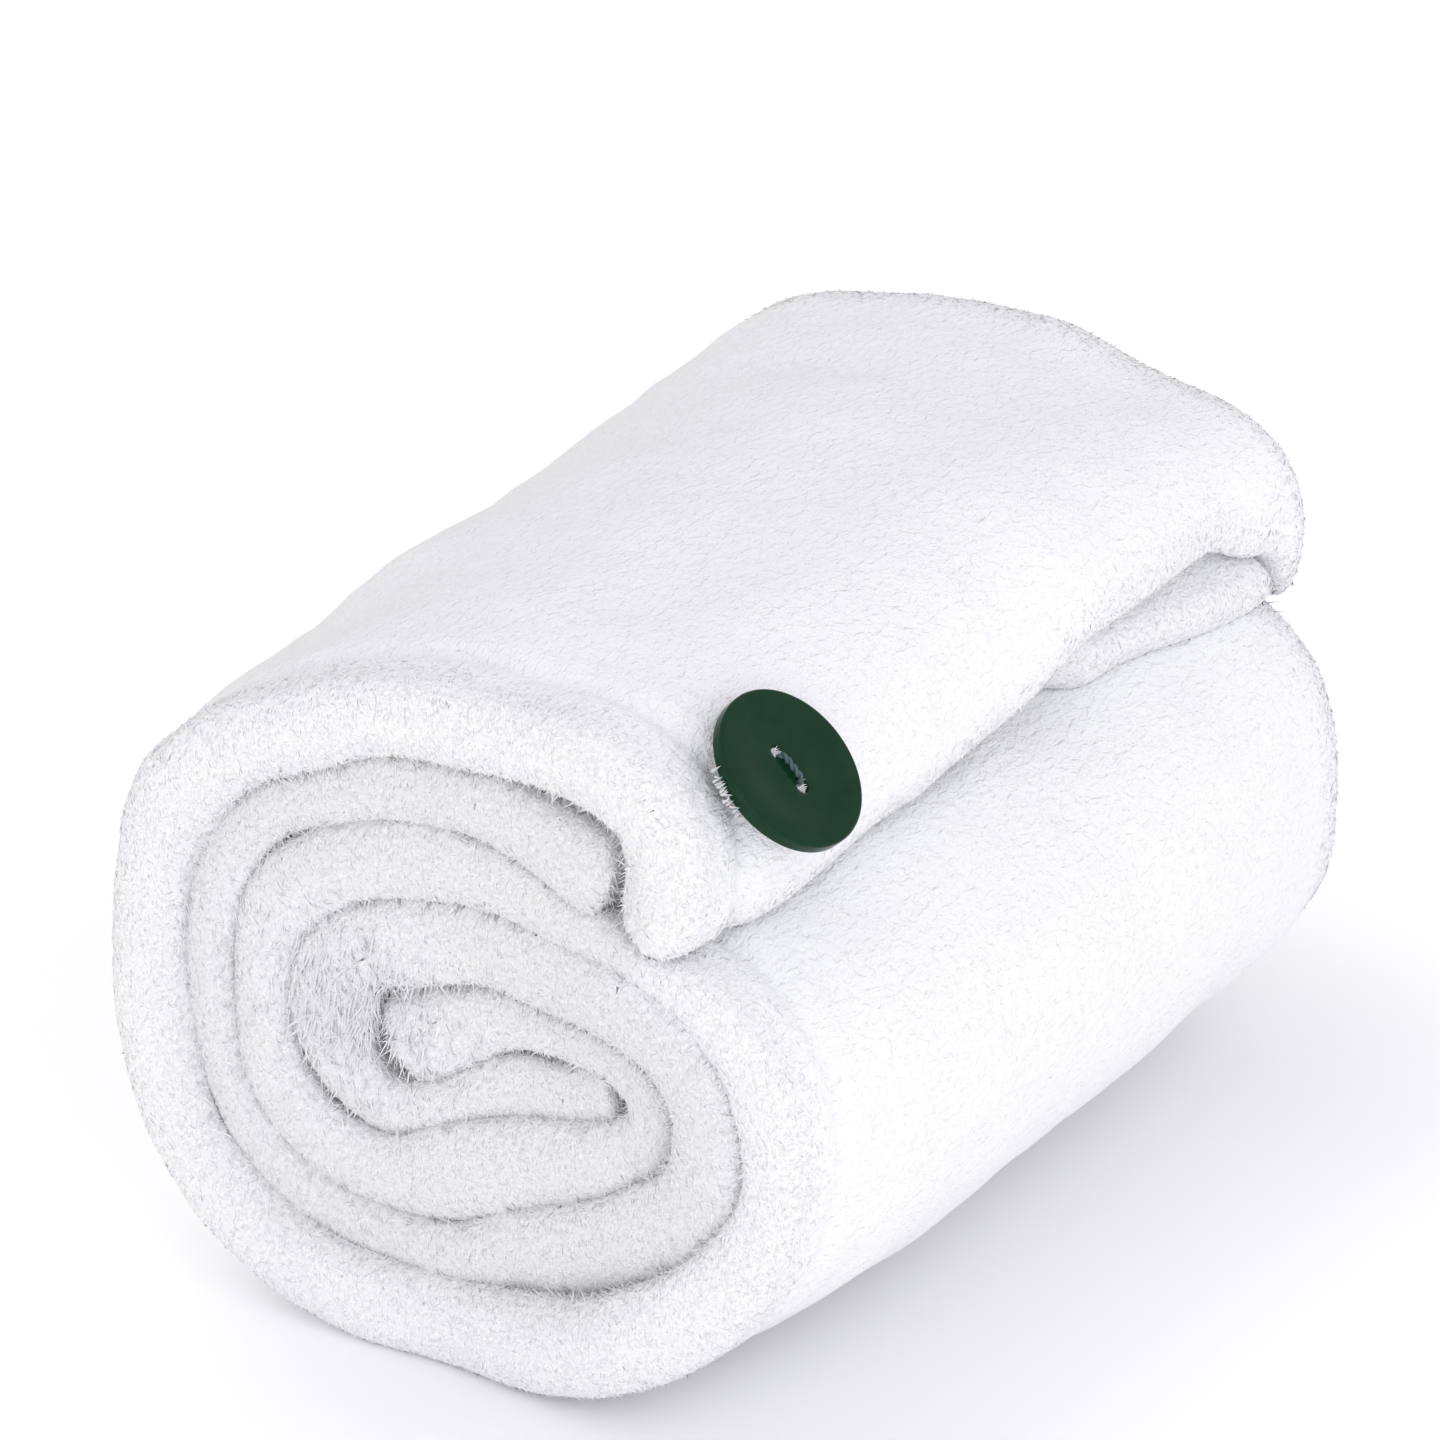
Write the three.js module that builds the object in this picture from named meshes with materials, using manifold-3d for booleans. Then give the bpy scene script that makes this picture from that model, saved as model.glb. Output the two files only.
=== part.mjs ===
// A plush hair towel, rolled up and lying on its side, with a two-hole button on its free flap.
// Millimetres, +Z up. The roll's axis runs along Y. The origin is on the table under the roll's middle.
import * as THREE from 'three';
import { mergeVertices } from 'three/addons/utils/BufferGeometryUtils.js';
import Module from 'manifold-3d';

const wasm = await Module();
wasm.setup();

// The roll
const ROLL_LENGTH = 165;
const ROLL_CENTRE = { x: 0, z: 58 };      // what the turns swell and sag about
const OFF_CENTRE = 1.9;                   // how far the sagging side reaches out further than the other
const HEM_ROUND = 4.5;                    // how far from a rim the wall has its full thickness
const HEM_STITCH = 12;                    // the stitch line's distance from the rim
const STITCH_DEPTH = 1.6;                 // how far the stitch line sinks into the pile
const STITCH_WIDTH = 2.2;                 // and how far to each side its groove reaches
const EDGE_SHARE = 0.6;                   // the thickness left at a rounded rim or free edge
const FOLD_SHARE = 0.8;                   // how much of a bend's radius its inner side may fill
const SAG_ANGLE = -Math.PI / 4;           // the side that the roll sags towards, from +X up
const TURN_SAMPLES = 2;                   // faces along the wall for each row of a panel's table
const EDGE_STEPS = [1.2, 3.4];            // extra faces that round a free edge, from the edge inwards
const LEAST_STEP = 2;                     // the shortest face between those and the rest
const LENGTH_STEPS = 24;                  // steps for each row when the wall's length is measured

// The button
const BUTTON = {
  diameter: 26.7, thickness: 3.2, dishDiameter: 16.2, dishDepth: 0.9, dishSlope: 2.1, edgeRound: 1.1,
  backRise: 0.6, backMargin: 3.5, holeDiameter: 2.3, holePitch: 6.3, sides: 28, holeSides: 12,
  x: 51.0, y: -63.1, z: 111.3, tilt: Math.PI / 4,
};
const THREAD = { diameter: 1.1, inward: 0.25, sides: 6, clearance: 0.15, bend: 0.9, steps: 22 };

// Where the sections stand along the roll: near the rims, as a distance from the nearer one, and between
const RIM_SECTIONS = [0, 1.2, HEM_ROUND, HEM_STITCH, 19, 37];
const MIDDLE_SECTIONS = [60, 82, 92, 100, 110];

// The outer panel's wall at the near rim, from the flap's free edge inwards, one row for each bend:
// x and z of the wall's middle, its thickness, and how far its rim stands back from the roll's end.
const OUTER_TURNS = [
  { x: 38.4, z: 85.0, thick: 9.6, back: 0 },
  { x: 40.2, z: 91.0, thick: 11.6, back: 0 },
  { x: 41.0, z: 99.0, thick: 12.4, back: 0 },
  { x: 38.0, z: 107.0, thick: 12.8, back: 0 },
  { x: 29.0, z: 112.2, thick: 13.0, back: 0 },
  { x: 14.0, z: 113.4, thick: 12.4, back: 0 },
  { x: -2.0, z: 112.8, thick: 12.4, back: 0 },
  { x: -21.0, z: 107.3, thick: 12.4, back: 0 },
  { x: -37.0, z: 99.0, thick: 12.6, back: 0 },
  { x: -49.3, z: 87.2, thick: 13.6, back: 0 },
  { x: -55.2, z: 70.8, thick: 12.6, back: 0 },
  { x: -56.4, z: 55.0, thick: 13.4, back: 0 },
  { x: -54.6, z: 40.0, thick: 14.2, back: 0 },
  { x: -48.8, z: 25.0, thick: 14.6, back: 0 },
  { x: -37.0, z: 13.5, thick: 14.8, back: 0 },
  { x: -20.0, z: 8.0, thick: 14.8, back: -1 },
  { x: 0.0, z: 7.7, thick: 15.0, back: 0 },
  { x: 18.0, z: 10.1, thick: 15.6, back: -2 },
  { x: 35.0, z: 17.6, thick: 13.8, back: -3 },
  { x: 48.5, z: 27.5, thick: 12.0, back: -1 },
  { x: 57.0, z: 40.0, thick: 10.6, back: 0 },
  { x: 59.8, z: 54.0, thick: 9.8, back: 0 },
  { x: 56.8, z: 67.5, thick: 9.8, back: 0 },
  { x: 47.0, z: 77.3, thick: 9.0, back: 1 },
  { x: 33.5, z: 81.6, thick: 7.0, back: 2 },
  { x: 20.0, z: 85.2, thick: 8.5, back: 2 },
  { x: 8.0, z: 87.4, thick: 10.6, back: 2 },
  { x: -7.0, z: 86.6, thick: 11.2, back: 2 },
  { x: -21.5, z: 81.0, thick: 11.2, back: 2 },
  { x: -33.2, z: 70.2, thick: 11.2, back: 3 },
  { x: -36.2, z: 55.6, thick: 10.0, back: 3 },
  { x: -34.9, z: 42.6, thick: 10.5, back: 3 },
  { x: -27.4, z: 33.2, thick: 10.5, back: 3 },
  { x: -13.0, z: 29.2, thick: 11.6, back: 3 },
  { x: 1.5, z: 33.9, thick: 15.2, back: 3 },
  { x: 14.5, z: 39.0, thick: 13.2, back: 4 },
  { x: 26.5, z: 43.2, thick: 10.4, back: 4 },
  { x: 33.6, z: 48.2, thick: 8.0, back: 5 },
  { x: 35.4, z: 54.6, thick: 7.0, back: 5 },
  { x: 30.4, z: 60.2, thick: 7.0, back: 6 },
  { x: 21.2, z: 61.9, thick: 8.2, back: 6 },
  { x: 9.0, z: 62.2, thick: 10.2, back: 6 },
  { x: -1.0, z: 57.6, thick: 12.4, back: 6 },
  { x: -12.4, z: 50.4, thick: 12.4, back: 6 },
];

// The inner panel's wall, from the edge that shows at the far end inwards
const INNER_TURNS = [
  { x: 54.0, z: 83.5, thick: 9.0, back: 7 },
  { x: 45.5, z: 87.7, thick: 9.2, back: 7 },
  { x: 36.5, z: 91.4, thick: 11.4, back: 5 },
  { x: 26.7, z: 94.4, thick: 13.4, back: 2 },
  { x: 16.7, z: 97.6, thick: 12.6, back: 2 },
  { x: 5.7, z: 100.0, thick: 11.4, back: 2 },
  { x: -7.3, z: 99.2, thick: 11.2, back: 2 },
  { x: -21.3, z: 94.4, thick: 10.2, back: 2 },
  { x: -34.0, z: 87.4, thick: 9.0, back: 2 },
  { x: -42.3, z: 76.3, thick: 8.4, back: 2 },
  { x: -45.4, z: 62.0, thick: 7.4, back: 2 },
  { x: -45.1, z: 50.0, thick: 7.0, back: 2 },
  { x: -42.6, z: 38.1, thick: 6.7, back: 2 },
  { x: -35.5, z: 27.4, thick: 7.6, back: 2 },
  { x: -24.0, z: 20.8, thick: 7.8, back: 2 },
  { x: -10.0, z: 19.2, thick: 8.2, back: 2 },
  { x: 2.0, z: 20.2, thick: 9.0, back: 2 },
  { x: 11.0, z: 23.2, thick: 11.2, back: 2 },
  { x: 22.0, z: 27.0, thick: 13.0, back: 2 },
  { x: 33.0, z: 32.6, thick: 12.6, back: 2 },
  { x: 43.4, z: 40.6, thick: 11.6, back: 2 },
  { x: 47.6, z: 51.5, thick: 11.6, back: 1 },
  { x: 46.6, z: 61.0, thick: 11.8, back: 1 },
  { x: 40.2, z: 68.6, thick: 11.4, back: 1 },
  { x: 29.5, z: 73.0, thick: 10.6, back: 1 },
  { x: 17.0, z: 74.4, thick: 11.2, back: 2 },
  { x: 4.0, z: 75.0, thick: 11.4, back: 3 },
  { x: -8.5, z: 71.6, thick: 12.4, back: 3 },
  { x: -18.8, z: 67.4, thick: 11.0, back: 3 },
  { x: -23.4, z: 57.6, thick: 10.4, back: 3 },
  { x: -22.4, z: 47.4, thick: 9.0, back: 4 },
  { x: -14.5, z: 40.4, thick: 7.0, back: 5 },
  { x: -4.0, z: 43.4, thick: 6.2, back: 5 },
  { x: 9.0, z: 50.0, thick: 10.0, back: 6 },
  { x: 19.5, z: 51.8, thick: 8.4, back: 6 },
  { x: 27.6, z: 54.0, thick: 7.0, back: 6 },
];

// How the whole roll widens along its length: its swelling about the centre, and its sag to one side
const SWELL = [
  { y: -82.5, grow: 1.000, sag: 0.000 },
  { y: -68, grow: 1.030, sag: 0.020 },
  { y: -52, grow: 1.048, sag: 0.050 },
  { y: -17, grow: 1.060, sag: 0.065 },
  { y: 30, grow: 1.060, sag: 0.065 },
  { y: 60, grow: 1.058, sag: 0.040 },
  { y: 82.5, grow: 1.062, sag: 0.000 },
];

// How the two free edges move along the roll: outwards, up, and how far each reaches on round the roll
const OUTER_EDGE = [
  { y: -82.5, out: 0, up: 0, reach: 0 },
  { y: -62, out: 2.0, up: -0.6, reach: 0 },
  { y: -22, out: 1.5, up: 0, reach: 0 },
  { y: 0, out: 1.8, up: 0.5, reach: -1 },
  { y: 24, out: 6.0, up: 0.5, reach: -10.5 },
  { y: 58, out: 6.5, up: -1.0, reach: -12.5 },
  { y: 74, out: 8.5, up: -2.5, reach: -13.0 },
  { y: 82.5, out: 12.0, up: -3.5, reach: -5.5 },
];
const INNER_EDGE = [
  { y: -82.5, out: 0, up: 0, reach: 0 },
  { y: 0, out: 0, up: 0, reach: 0 },
  { y: 17, out: 0, up: 0, reach: 9 },
  { y: 36, out: 0, up: 0, reach: 19 },
  { y: 82.5, out: 0, up: 0, reach: 25.5 },
];
const EDGE_FADE = { from: 22, to: 62 };   // along the wall, where an edge's shift dies away
const INNER_EDGE_START = 26;              // how far the near rim's edge stands behind the table's first row

// Soft dents pressed into the outer panel's outside: their place, half-width across and along, and depth.
// A depth below nothing is a swelling.
const DENTS = [
  { x: -8, y: 49, z: 122, across: 17, along: 7, depth: 1.8 },
  { x: 34, y: 78, z: 121, across: 13, along: 26, depth: 4.5 },
  { x: -42, y: 14, z: 108, across: 16, along: 13, depth: 1.5 },
  { x: -42, y: -22, z: 109, across: 13, along: 12, depth: -1.5 },
  { x: -44, y: -47, z: 104, across: 16, along: 12, depth: 1.8 },
  { x: 62, y: 8, z: 76, across: 18, along: 22, depth: 1.5 },
  { x: -38, y: 80, z: 109, across: 16, along: 30, depth: -3.0 },
  { x: 5, y: 80, z: 117, across: 14, along: 22, depth: 1.6 },
  { x: 61, y: 80, z: 58, across: 14, along: 26, depth: 1.6 },
  { x: 60, y: 80, z: 30, across: 14, along: 26, depth: -2.2 },
  { x: 42, y: -82, z: 9, across: 20, along: 12, depth: -2.4 },
  { x: -58, y: -82, z: 88, across: 12, along: 12, depth: -1.4 },
  { x: -36, y: -56, z: 110, across: 14, along: 12, depth: 1.4 },
];

/** A smooth step from 0 to 1 as t goes from a to b. */
function smooth(a, b, t) {
  return THREE.MathUtils.smoothstep(t, a, b);
}

/** The value of a column at y, on a monotone path through the table's rows. */
function along(table, column, y) {
  const last = table.length - 1;
  if (y <= table[0].y) return table[0][column];
  if (y >= table[last].y) return table[last][column];
  const i = table.findIndex((row) => row.y > y) - 1;
  const from = table[i];
  const to = table[i + 1];
  return THREE.MathUtils.lerp(from[column], to[column], smooth(from.y, to.y, y));
}

/** A panel's path through its rows, with the running length of the wall at each fine step. */
function wallPath(rows) {
  const places = new THREE.CatmullRomCurve3(
    rows.map(({ x, z }) => new THREE.Vector3(x, z, 0)), false, 'centripetal');
  const traits = new THREE.CatmullRomCurve3(
    rows.map(({ thick, back }) => new THREE.Vector3(thick, back, 0)), false, 'catmullrom', 0.5);
  const fine = LENGTH_STEPS * (rows.length - 1);
  const lengths = [0];
  let before = places.getPoint(0);
  for (let k = 1; k <= fine; k += 1) {
    const now = places.getPoint(k / fine);
    lengths.push(lengths[k - 1] + now.distanceTo(before));
    before = now;
  }
  const total = lengths[fine];
  const lengthAt = (u) => {
    const k = Math.min(Math.floor(u * fine), fine - 1);
    return THREE.MathUtils.lerp(lengths[k], lengths[k + 1], u * fine - k);
  };
  const stepAt = (length) => {
    const s = THREE.MathUtils.clamp(length, 0, total);
    let k = lengths.findIndex((value) => value >= s);
    k = Math.max(k, 1);
    return (k - 1 + (s - lengths[k - 1]) / (lengths[k] - lengths[k - 1])) / fine;
  };
  return { places, traits, total, lengthAt, stepAt };
}

/** The share of the full thickness at a distance from a rounded edge. */
function roundedShare(distance, reach) {
  const t = THREE.MathUtils.clamp(distance / reach, 0, 1);
  return EDGE_SHARE + (1 - EDGE_SHARE) * Math.sqrt(1 - (1 - t) ** 2);
}

/** How far the dents press a point of the outside inwards. */
function dentDepth(dents, x, y, z) {
  return dents.reduce((sum, dent) => {
    const across = Math.hypot(x - dent.x, z - dent.z) / dent.across;
    const lengthways = (y - dent.y) / dent.along;
    return sum + dent.depth * Math.exp(-(across ** 2) - lengthways ** 2);
  }, 0);
}

/** The sections' distances from the near rim, from one rim to the other. */
function sectionPlaces() {
  const far = RIM_SECTIONS.map((step) => ROLL_LENGTH - step).reverse();
  return [...RIM_SECTIONS, ...MIDDLE_SECTIONS, ...far];
}

/** The middle of the wall at one section: points with x, z, y, thickness, and length from the edge. */
function sectionMiddle(path, edge, edgeStart, steps, distance) {
  const y = distance - ROLL_LENGTH / 2;
  const start = edgeStart - along(edge, 'reach', y);
  const out = along(edge, 'out', y);
  const up = along(edge, 'up', y);
  const grow = along(SWELL, 'grow', y);
  const sag = along(SWELL, 'sag', y);
  const slideEnd = edgeStart + EDGE_FADE.to;
  const stretch = (slideEnd - start) / EDGE_FADE.to;
  return steps.map((length) => {
    const slid = length < slideEnd ? start + (length - edgeStart) * stretch : length;
    const u = path.stepAt(slid);
    const place = path.places.getPoint(u);
    const trait = path.traits.getPoint(u);
    const share = 1 - smooth(EDGE_FADE.from, EDGE_FADE.to, slid - start);
    const x = place.x + out * share - ROLL_CENTRE.x;
    const z = place.y + up * share - ROLL_CENTRE.z;
    const side = Math.max(0, Math.cos(Math.atan2(z, x) - SAG_ANGLE)) ** 2;
    const scale = grow + sag * side;
    return {
      x: ROLL_CENTRE.x + x * scale,
      z: ROLL_CENTRE.z + z * scale,
      y: y * (1 - trait.y * 2 / ROLL_LENGTH),
      thick: trait.x,
      length: slid - start,
      left: path.total - slid,
    };
  });
}

/** How sharply the wall bends at p between a and b, as 1/radius: positive where it turns inwards. */
function bendAt(a, p, b) {
  const [before, after] = [Math.hypot(p.x - a.x, p.z - a.z), Math.hypot(b.x - p.x, b.z - p.z)];
  if (before * after === 0) return 0;
  const cross = (p.x - a.x) * (b.z - p.z) - (p.z - a.z) * (b.x - p.x);
  return (2 * cross) / (before * after * Math.hypot(b.x - a.x, b.z - a.z));
}

/** One section of a panel's wall as a closed ring of points: along the outside and back inside. */
function sectionRing(middle, distance, dents) {
  const fromRim = Math.min(distance, ROLL_LENGTH - distance);
  const hem = roundedShare(fromRim, HEM_ROUND);
  const stitch = STITCH_DEPTH * Math.exp(-(((fromRim - HEM_STITCH) / STITCH_WIDTH) ** 2));
  const outside = [];
  const inside = [];
  middle.forEach((point, i) => {
    const a = middle[Math.max(i - 1, 0)];
    const b = middle[Math.min(i + 1, middle.length - 1)];
    const run = Math.hypot(b.x - a.x, b.z - a.z);
    const normal = { x: (b.z - a.z) / run, z: -(b.x - a.x) / run };
    const bend = bendAt(a, point, b);
    const room = FOLD_SHARE / Math.max(Math.abs(bend), 1e-6);
    const ends = roundedShare(Math.min(point.length, point.left), point.thick / 2);
    const half = (point.thick / 2) * hem * ends;
    const dented = half - stitch - dentDepth(dents, point.x, point.y, point.z);
    const floor = (z) => Math.max(z, 0);
    const outer = bend < 0 ? Math.min(dented, room) : dented;
    const inner = bend > 0 ? Math.min(half, room) : half;
    outside.push([point.x + normal.x * outer, point.y, floor(point.z + normal.z * outer)]);
    inside.push([point.x - normal.x * inner, point.y, floor(point.z - normal.z * inner)]);
  });
  return [...outside, ...inside.reverse()];
}

/** A closed body from rings of the same count: strips between the rings, and strips across both rims. */
function ringBody(rings) {
  const count = rings[0].length;
  const positions = rings.flat(2);
  const faces = [];
  for (let j = 0; j < rings.length - 1; j += 1) {
    for (let i = 0; i < count; i += 1) {
      const next = (i + 1) % count;
      const [a, b] = [j * count + i, j * count + next];
      const [c, d] = [a + count, b + count];
      faces.push(a, c, b, b, c, d);
    }
  }
  const top = (rings.length - 1) * count;
  for (let i = 0; i < count / 2 - 1; i += 1) {
    const [a, b] = [i, i + 1];
    const [c, d] = [count - 1 - i, count - 2 - i];
    faces.push(a, b, c, b, d, c);
    faces.push(top + a, top + c, top + b, top + b, top + c, top + d);
  }
  const geometry = new THREE.BufferGeometry();
  geometry.setAttribute('position', new THREE.Float32BufferAttribute(positions, 3));
  geometry.setIndex(faces);
  geometry.computeVertexNormals();
  return geometry;
}

/** Where the faces end along a panel's wall: evenly by its rows, and closer together at both ends. */
function wallSteps(path, rowCount, edgeStart) {
  const spans = TURN_SAMPLES * (rowCount - 1);
  const even = Array.from({ length: spans + 1 }, (_, k) => path.lengthAt(k / spans));
  const early = EDGE_STEPS.map((step) => edgeStart + step);
  const late = EDGE_STEPS.map((step) => path.total - step).reverse();
  const between = even.filter((length) => (
    length > early[early.length - 1] + LEAST_STEP && length < late[0] - LEAST_STEP));
  return [edgeStart, ...early, ...between, ...late, path.total];
}

/** A wound panel of fleece: its wall follows the table's turns, with rounded hems and edges. */
function panelGeometry(rows, edge, edgeStart, dents) {
  const path = wallPath(rows);
  const lengths = wallSteps(path, rows.length, edgeStart);
  const rings = sectionPlaces().map((distance) => (
    sectionRing(sectionMiddle(path, edge, edgeStart, lengths, distance), distance, dents)));
  return ringBody(rings);
}

/** A geometry as a solid that can be cut and joined. */
function solidOf(geometry) {
  const plain = geometry.clone();
  plain.deleteAttribute('normal');
  plain.deleteAttribute('uv');
  const merged = mergeVertices(plain, 1e-4);
  return new wasm.Manifold(new wasm.Mesh({
    numProp: 3,
    vertProperties: new Float32Array(merged.attributes.position.array),
    triVerts: new Uint32Array(merged.index.array),
  }));
}

/** A solid as a geometry to draw. */
function geometryOf(solid) {
  const mesh = solid.getMesh();
  const geometry = new THREE.BufferGeometry();
  geometry.setAttribute('position', new THREE.BufferAttribute(new Float32Array(mesh.vertProperties), 3));
  geometry.setIndex(new THREE.BufferAttribute(new Uint32Array(mesh.triVerts), 1));
  geometry.computeVertexNormals();
  return geometry;
}

/** The button about its own axis (+Y outwards): a turned disc with a dished face and two holes. */
function buttonGeometry() {
  const radius = BUTTON.diameter / 2;
  const half = BUTTON.thickness / 2;
  const round = BUTTON.edgeRound;
  const bevel = round * (1 - Math.SQRT1_2);
  const dish = BUTTON.dishDiameter / 2;
  const low = half - BUTTON.dishDepth;
  const profile = [
    [0, -half], [radius - BUTTON.backMargin, -half], [radius - round, BUTTON.backRise - half],
    [radius, BUTTON.backRise + round - half], [radius, half - round], [radius - bevel, half - bevel],
    [radius - round, half], [dish + BUTTON.dishSlope, half], [dish, (half + low) / 2],
    [dish - BUTTON.dishSlope, low], [0, low],
  ].map(([x, y]) => new THREE.Vector2(x, y));
  const disc = solidOf(new THREE.LatheGeometry(profile, BUTTON.sides));
  const drilled = [-1, 1].reduce((body, side) => {
    const hole = new THREE.CylinderGeometry(
      BUTTON.holeDiameter / 2, BUTTON.holeDiameter / 2, BUTTON.thickness * 2, BUTTON.holeSides);
    hole.translate(side * BUTTON.holePitch / 2, 0, 0);
    return body.subtract(solidOf(hole));
  }, disc);
  return geometryOf(drilled);
}

/** The thread: down through one hole, across the dish, and down through the other. */
function threadGeometry() {
  const radius = THREAD.diameter / 2;
  const leg = BUTTON.holePitch / 2 - THREAD.inward;
  const face = BUTTON.thickness / 2 - BUTTON.dishDepth + radius + THREAD.clearance;
  const foot = -BUTTON.thickness / 2;
  const corner = THREAD.bend;
  const path = new THREE.CurvePath();
  const at = (x, y) => new THREE.Vector3(x, y, 0);
  path.add(new THREE.LineCurve3(at(-leg, foot), at(-leg, face - corner)));
  path.add(new THREE.QuadraticBezierCurve3(at(-leg, face - corner), at(-leg, face), at(-leg + corner, face)));
  path.add(new THREE.LineCurve3(at(-leg + corner, face), at(leg - corner, face)));
  path.add(new THREE.QuadraticBezierCurve3(at(leg - corner, face), at(leg, face), at(leg, face - corner)));
  path.add(new THREE.LineCurve3(at(leg, face - corner), at(leg, foot)));
  const round = new THREE.Shape();
  for (let k = 0; k < THREAD.sides; k += 1) {
    const turn = (k / THREAD.sides) * Math.PI * 2;
    const point = [radius * Math.cos(turn), radius * Math.sin(turn)];
    if (k === 0) round.moveTo(...point);
    else round.lineTo(...point);
  }
  round.closePath();
  return new THREE.ExtrudeGeometry(round, { steps: THREAD.steps, bevelEnabled: false, extrudePath: path });
}

/** A named piece with its own material. */
function piece(name, geometry, color, roughness) {
  const mesh = new THREE.Mesh(geometry, new THREE.MeshStandardMaterial({ color, roughness, metalness: 0 }));
  mesh.name = name;
  return mesh;
}

const towel = new THREE.Group();
const roll = new THREE.Group();
roll.position.x = -OFF_CENTRE;
roll.add(piece('outer_panel', panelGeometry(OUTER_TURNS, OUTER_EDGE, 0, DENTS), 0xf6f7fb, 0.95));
roll.add(piece('inner_panel', panelGeometry(INNER_TURNS, INNER_EDGE, INNER_EDGE_START, []), 0xf3f4f8, 0.95));

// The button and its thread stand on the flap, turned so that their axis points out and up.
const fastening = new THREE.Group();
fastening.position.set(BUTTON.x, BUTTON.y, BUTTON.z);
fastening.quaternion.setFromRotationMatrix(new THREE.Matrix4().makeBasis(
  new THREE.Vector3(Math.sin(BUTTON.tilt), 0, -Math.cos(BUTTON.tilt)),
  new THREE.Vector3(Math.cos(BUTTON.tilt), 0, Math.sin(BUTTON.tilt)),
  new THREE.Vector3(0, -1, 0)));
fastening.add(piece('button', buttonGeometry(), 0x173d2b, 0.25));
fastening.add(piece('button_thread', threadGeometry(), 0x3f5f66, 0.8));
roll.add(fastening);
towel.add(roll);

export default towel;
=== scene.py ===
"""A plush hair towel, rolled up on its side, with a green two-hole button on its flap.

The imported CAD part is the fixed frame. Here the two wound panels, the button and its thread are built
finer, the hems and grooves get their tufts, and every surface gets its finish. Sizes in the classes are
millimetres, apart from the studio's and the finishes', which are metres.
"""

import logging
import math
from dataclasses import dataclass, field, replace

import bpy
import numpy as np
from mathutils import Matrix, Vector


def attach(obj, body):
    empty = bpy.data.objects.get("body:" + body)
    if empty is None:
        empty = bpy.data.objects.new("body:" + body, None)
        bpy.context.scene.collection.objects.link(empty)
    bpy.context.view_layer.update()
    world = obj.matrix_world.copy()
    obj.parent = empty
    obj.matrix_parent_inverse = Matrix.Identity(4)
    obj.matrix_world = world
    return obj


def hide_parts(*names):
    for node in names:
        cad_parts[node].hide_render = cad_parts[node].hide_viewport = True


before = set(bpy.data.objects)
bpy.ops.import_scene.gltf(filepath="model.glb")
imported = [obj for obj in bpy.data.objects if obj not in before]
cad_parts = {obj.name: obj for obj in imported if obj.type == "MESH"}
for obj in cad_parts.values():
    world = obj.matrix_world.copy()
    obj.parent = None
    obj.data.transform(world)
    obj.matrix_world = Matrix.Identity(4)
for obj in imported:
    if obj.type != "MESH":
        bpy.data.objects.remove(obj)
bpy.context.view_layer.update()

LOG = logging.getLogger("hair_towel")
MM = 0.001
BODY = "root"

Colour = tuple[float, float, float]
Row = tuple[float, ...]


# Numbers and curves


def smooth_step(low: float | np.ndarray, high: float | np.ndarray, value: np.ndarray) -> np.ndarray:
    """A step from 0 to 1: 3t^2 - 2t^3 of the value's clamped share t of the way from low to high.

    Args:
        low: Where the step starts.
        high: Where it ends.
        value: The places asked for.

    Returns:
        The step at each place.
    """
    t = np.clip((value - low) / (high - low), 0.0, 1.0)
    return t * t * (3.0 - 2.0 * t)


def along(rows: tuple[Row, ...], y: np.ndarray) -> np.ndarray:
    """A table's columns at y, with a smooth step from each row to the next.

    Args:
        rows: The table, with the station y first in each row.
        y: The stations asked for.

    Returns:
        One row of the other columns for each station.
    """
    table = np.array(rows)
    i = np.clip(np.searchsorted(table[:, 0], y, side="right") - 1, 0, len(table) - 2)
    share = smooth_step(table[i, 0], table[i + 1, 0], y)[:, None]
    return table[i, 1:] * (1.0 - share) + table[i + 1, 1:] * share


def catmull_rom(points: np.ndarray, t: np.ndarray, centripetal: bool) -> np.ndarray:
    """Points of a Catmull-Rom curve: a Hermite cubic between neighbours, past the ends by mirroring.

    Args:
        points: The curve's knots, one a row.
        t: Places along it, counted in knots.
        centripetal: Whether the knots are spaced by the root of their distance, or evenly.

    Returns:
        The curve at each place, with the shape of t plus one axis.
    """
    knots = np.vstack([2 * points[0] - points[1], points, 2 * points[-1] - points[-2]])
    i = np.clip(np.floor(t).astype(int), 0, len(points) - 2)
    f = (t - i)[..., None]
    p0, p1, p2, p3 = (knots[i + k] for k in range(4))
    if centripetal:
        gaps = np.sqrt(np.linalg.norm(np.diff(knots, axis=0), axis=1))
        d0, d1, d2 = (gaps[i + k][..., None] for k in range(3))
        m1 = d1 * ((p1 - p0) / d0 - (p2 - p0) / (d0 + d1) + (p2 - p1) / d1)
        m2 = d1 * ((p2 - p1) / d1 - (p3 - p1) / (d1 + d2) + (p3 - p2) / d2)
    else:
        m1, m2 = (p2 - p0) / 2, (p3 - p1) / 2
    return p1 + f * m1 + f**2 * (3 * (p2 - p1) - 2 * m1 - m2) + f**3 * (2 * (p1 - p2) + m1 + m2)


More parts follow.
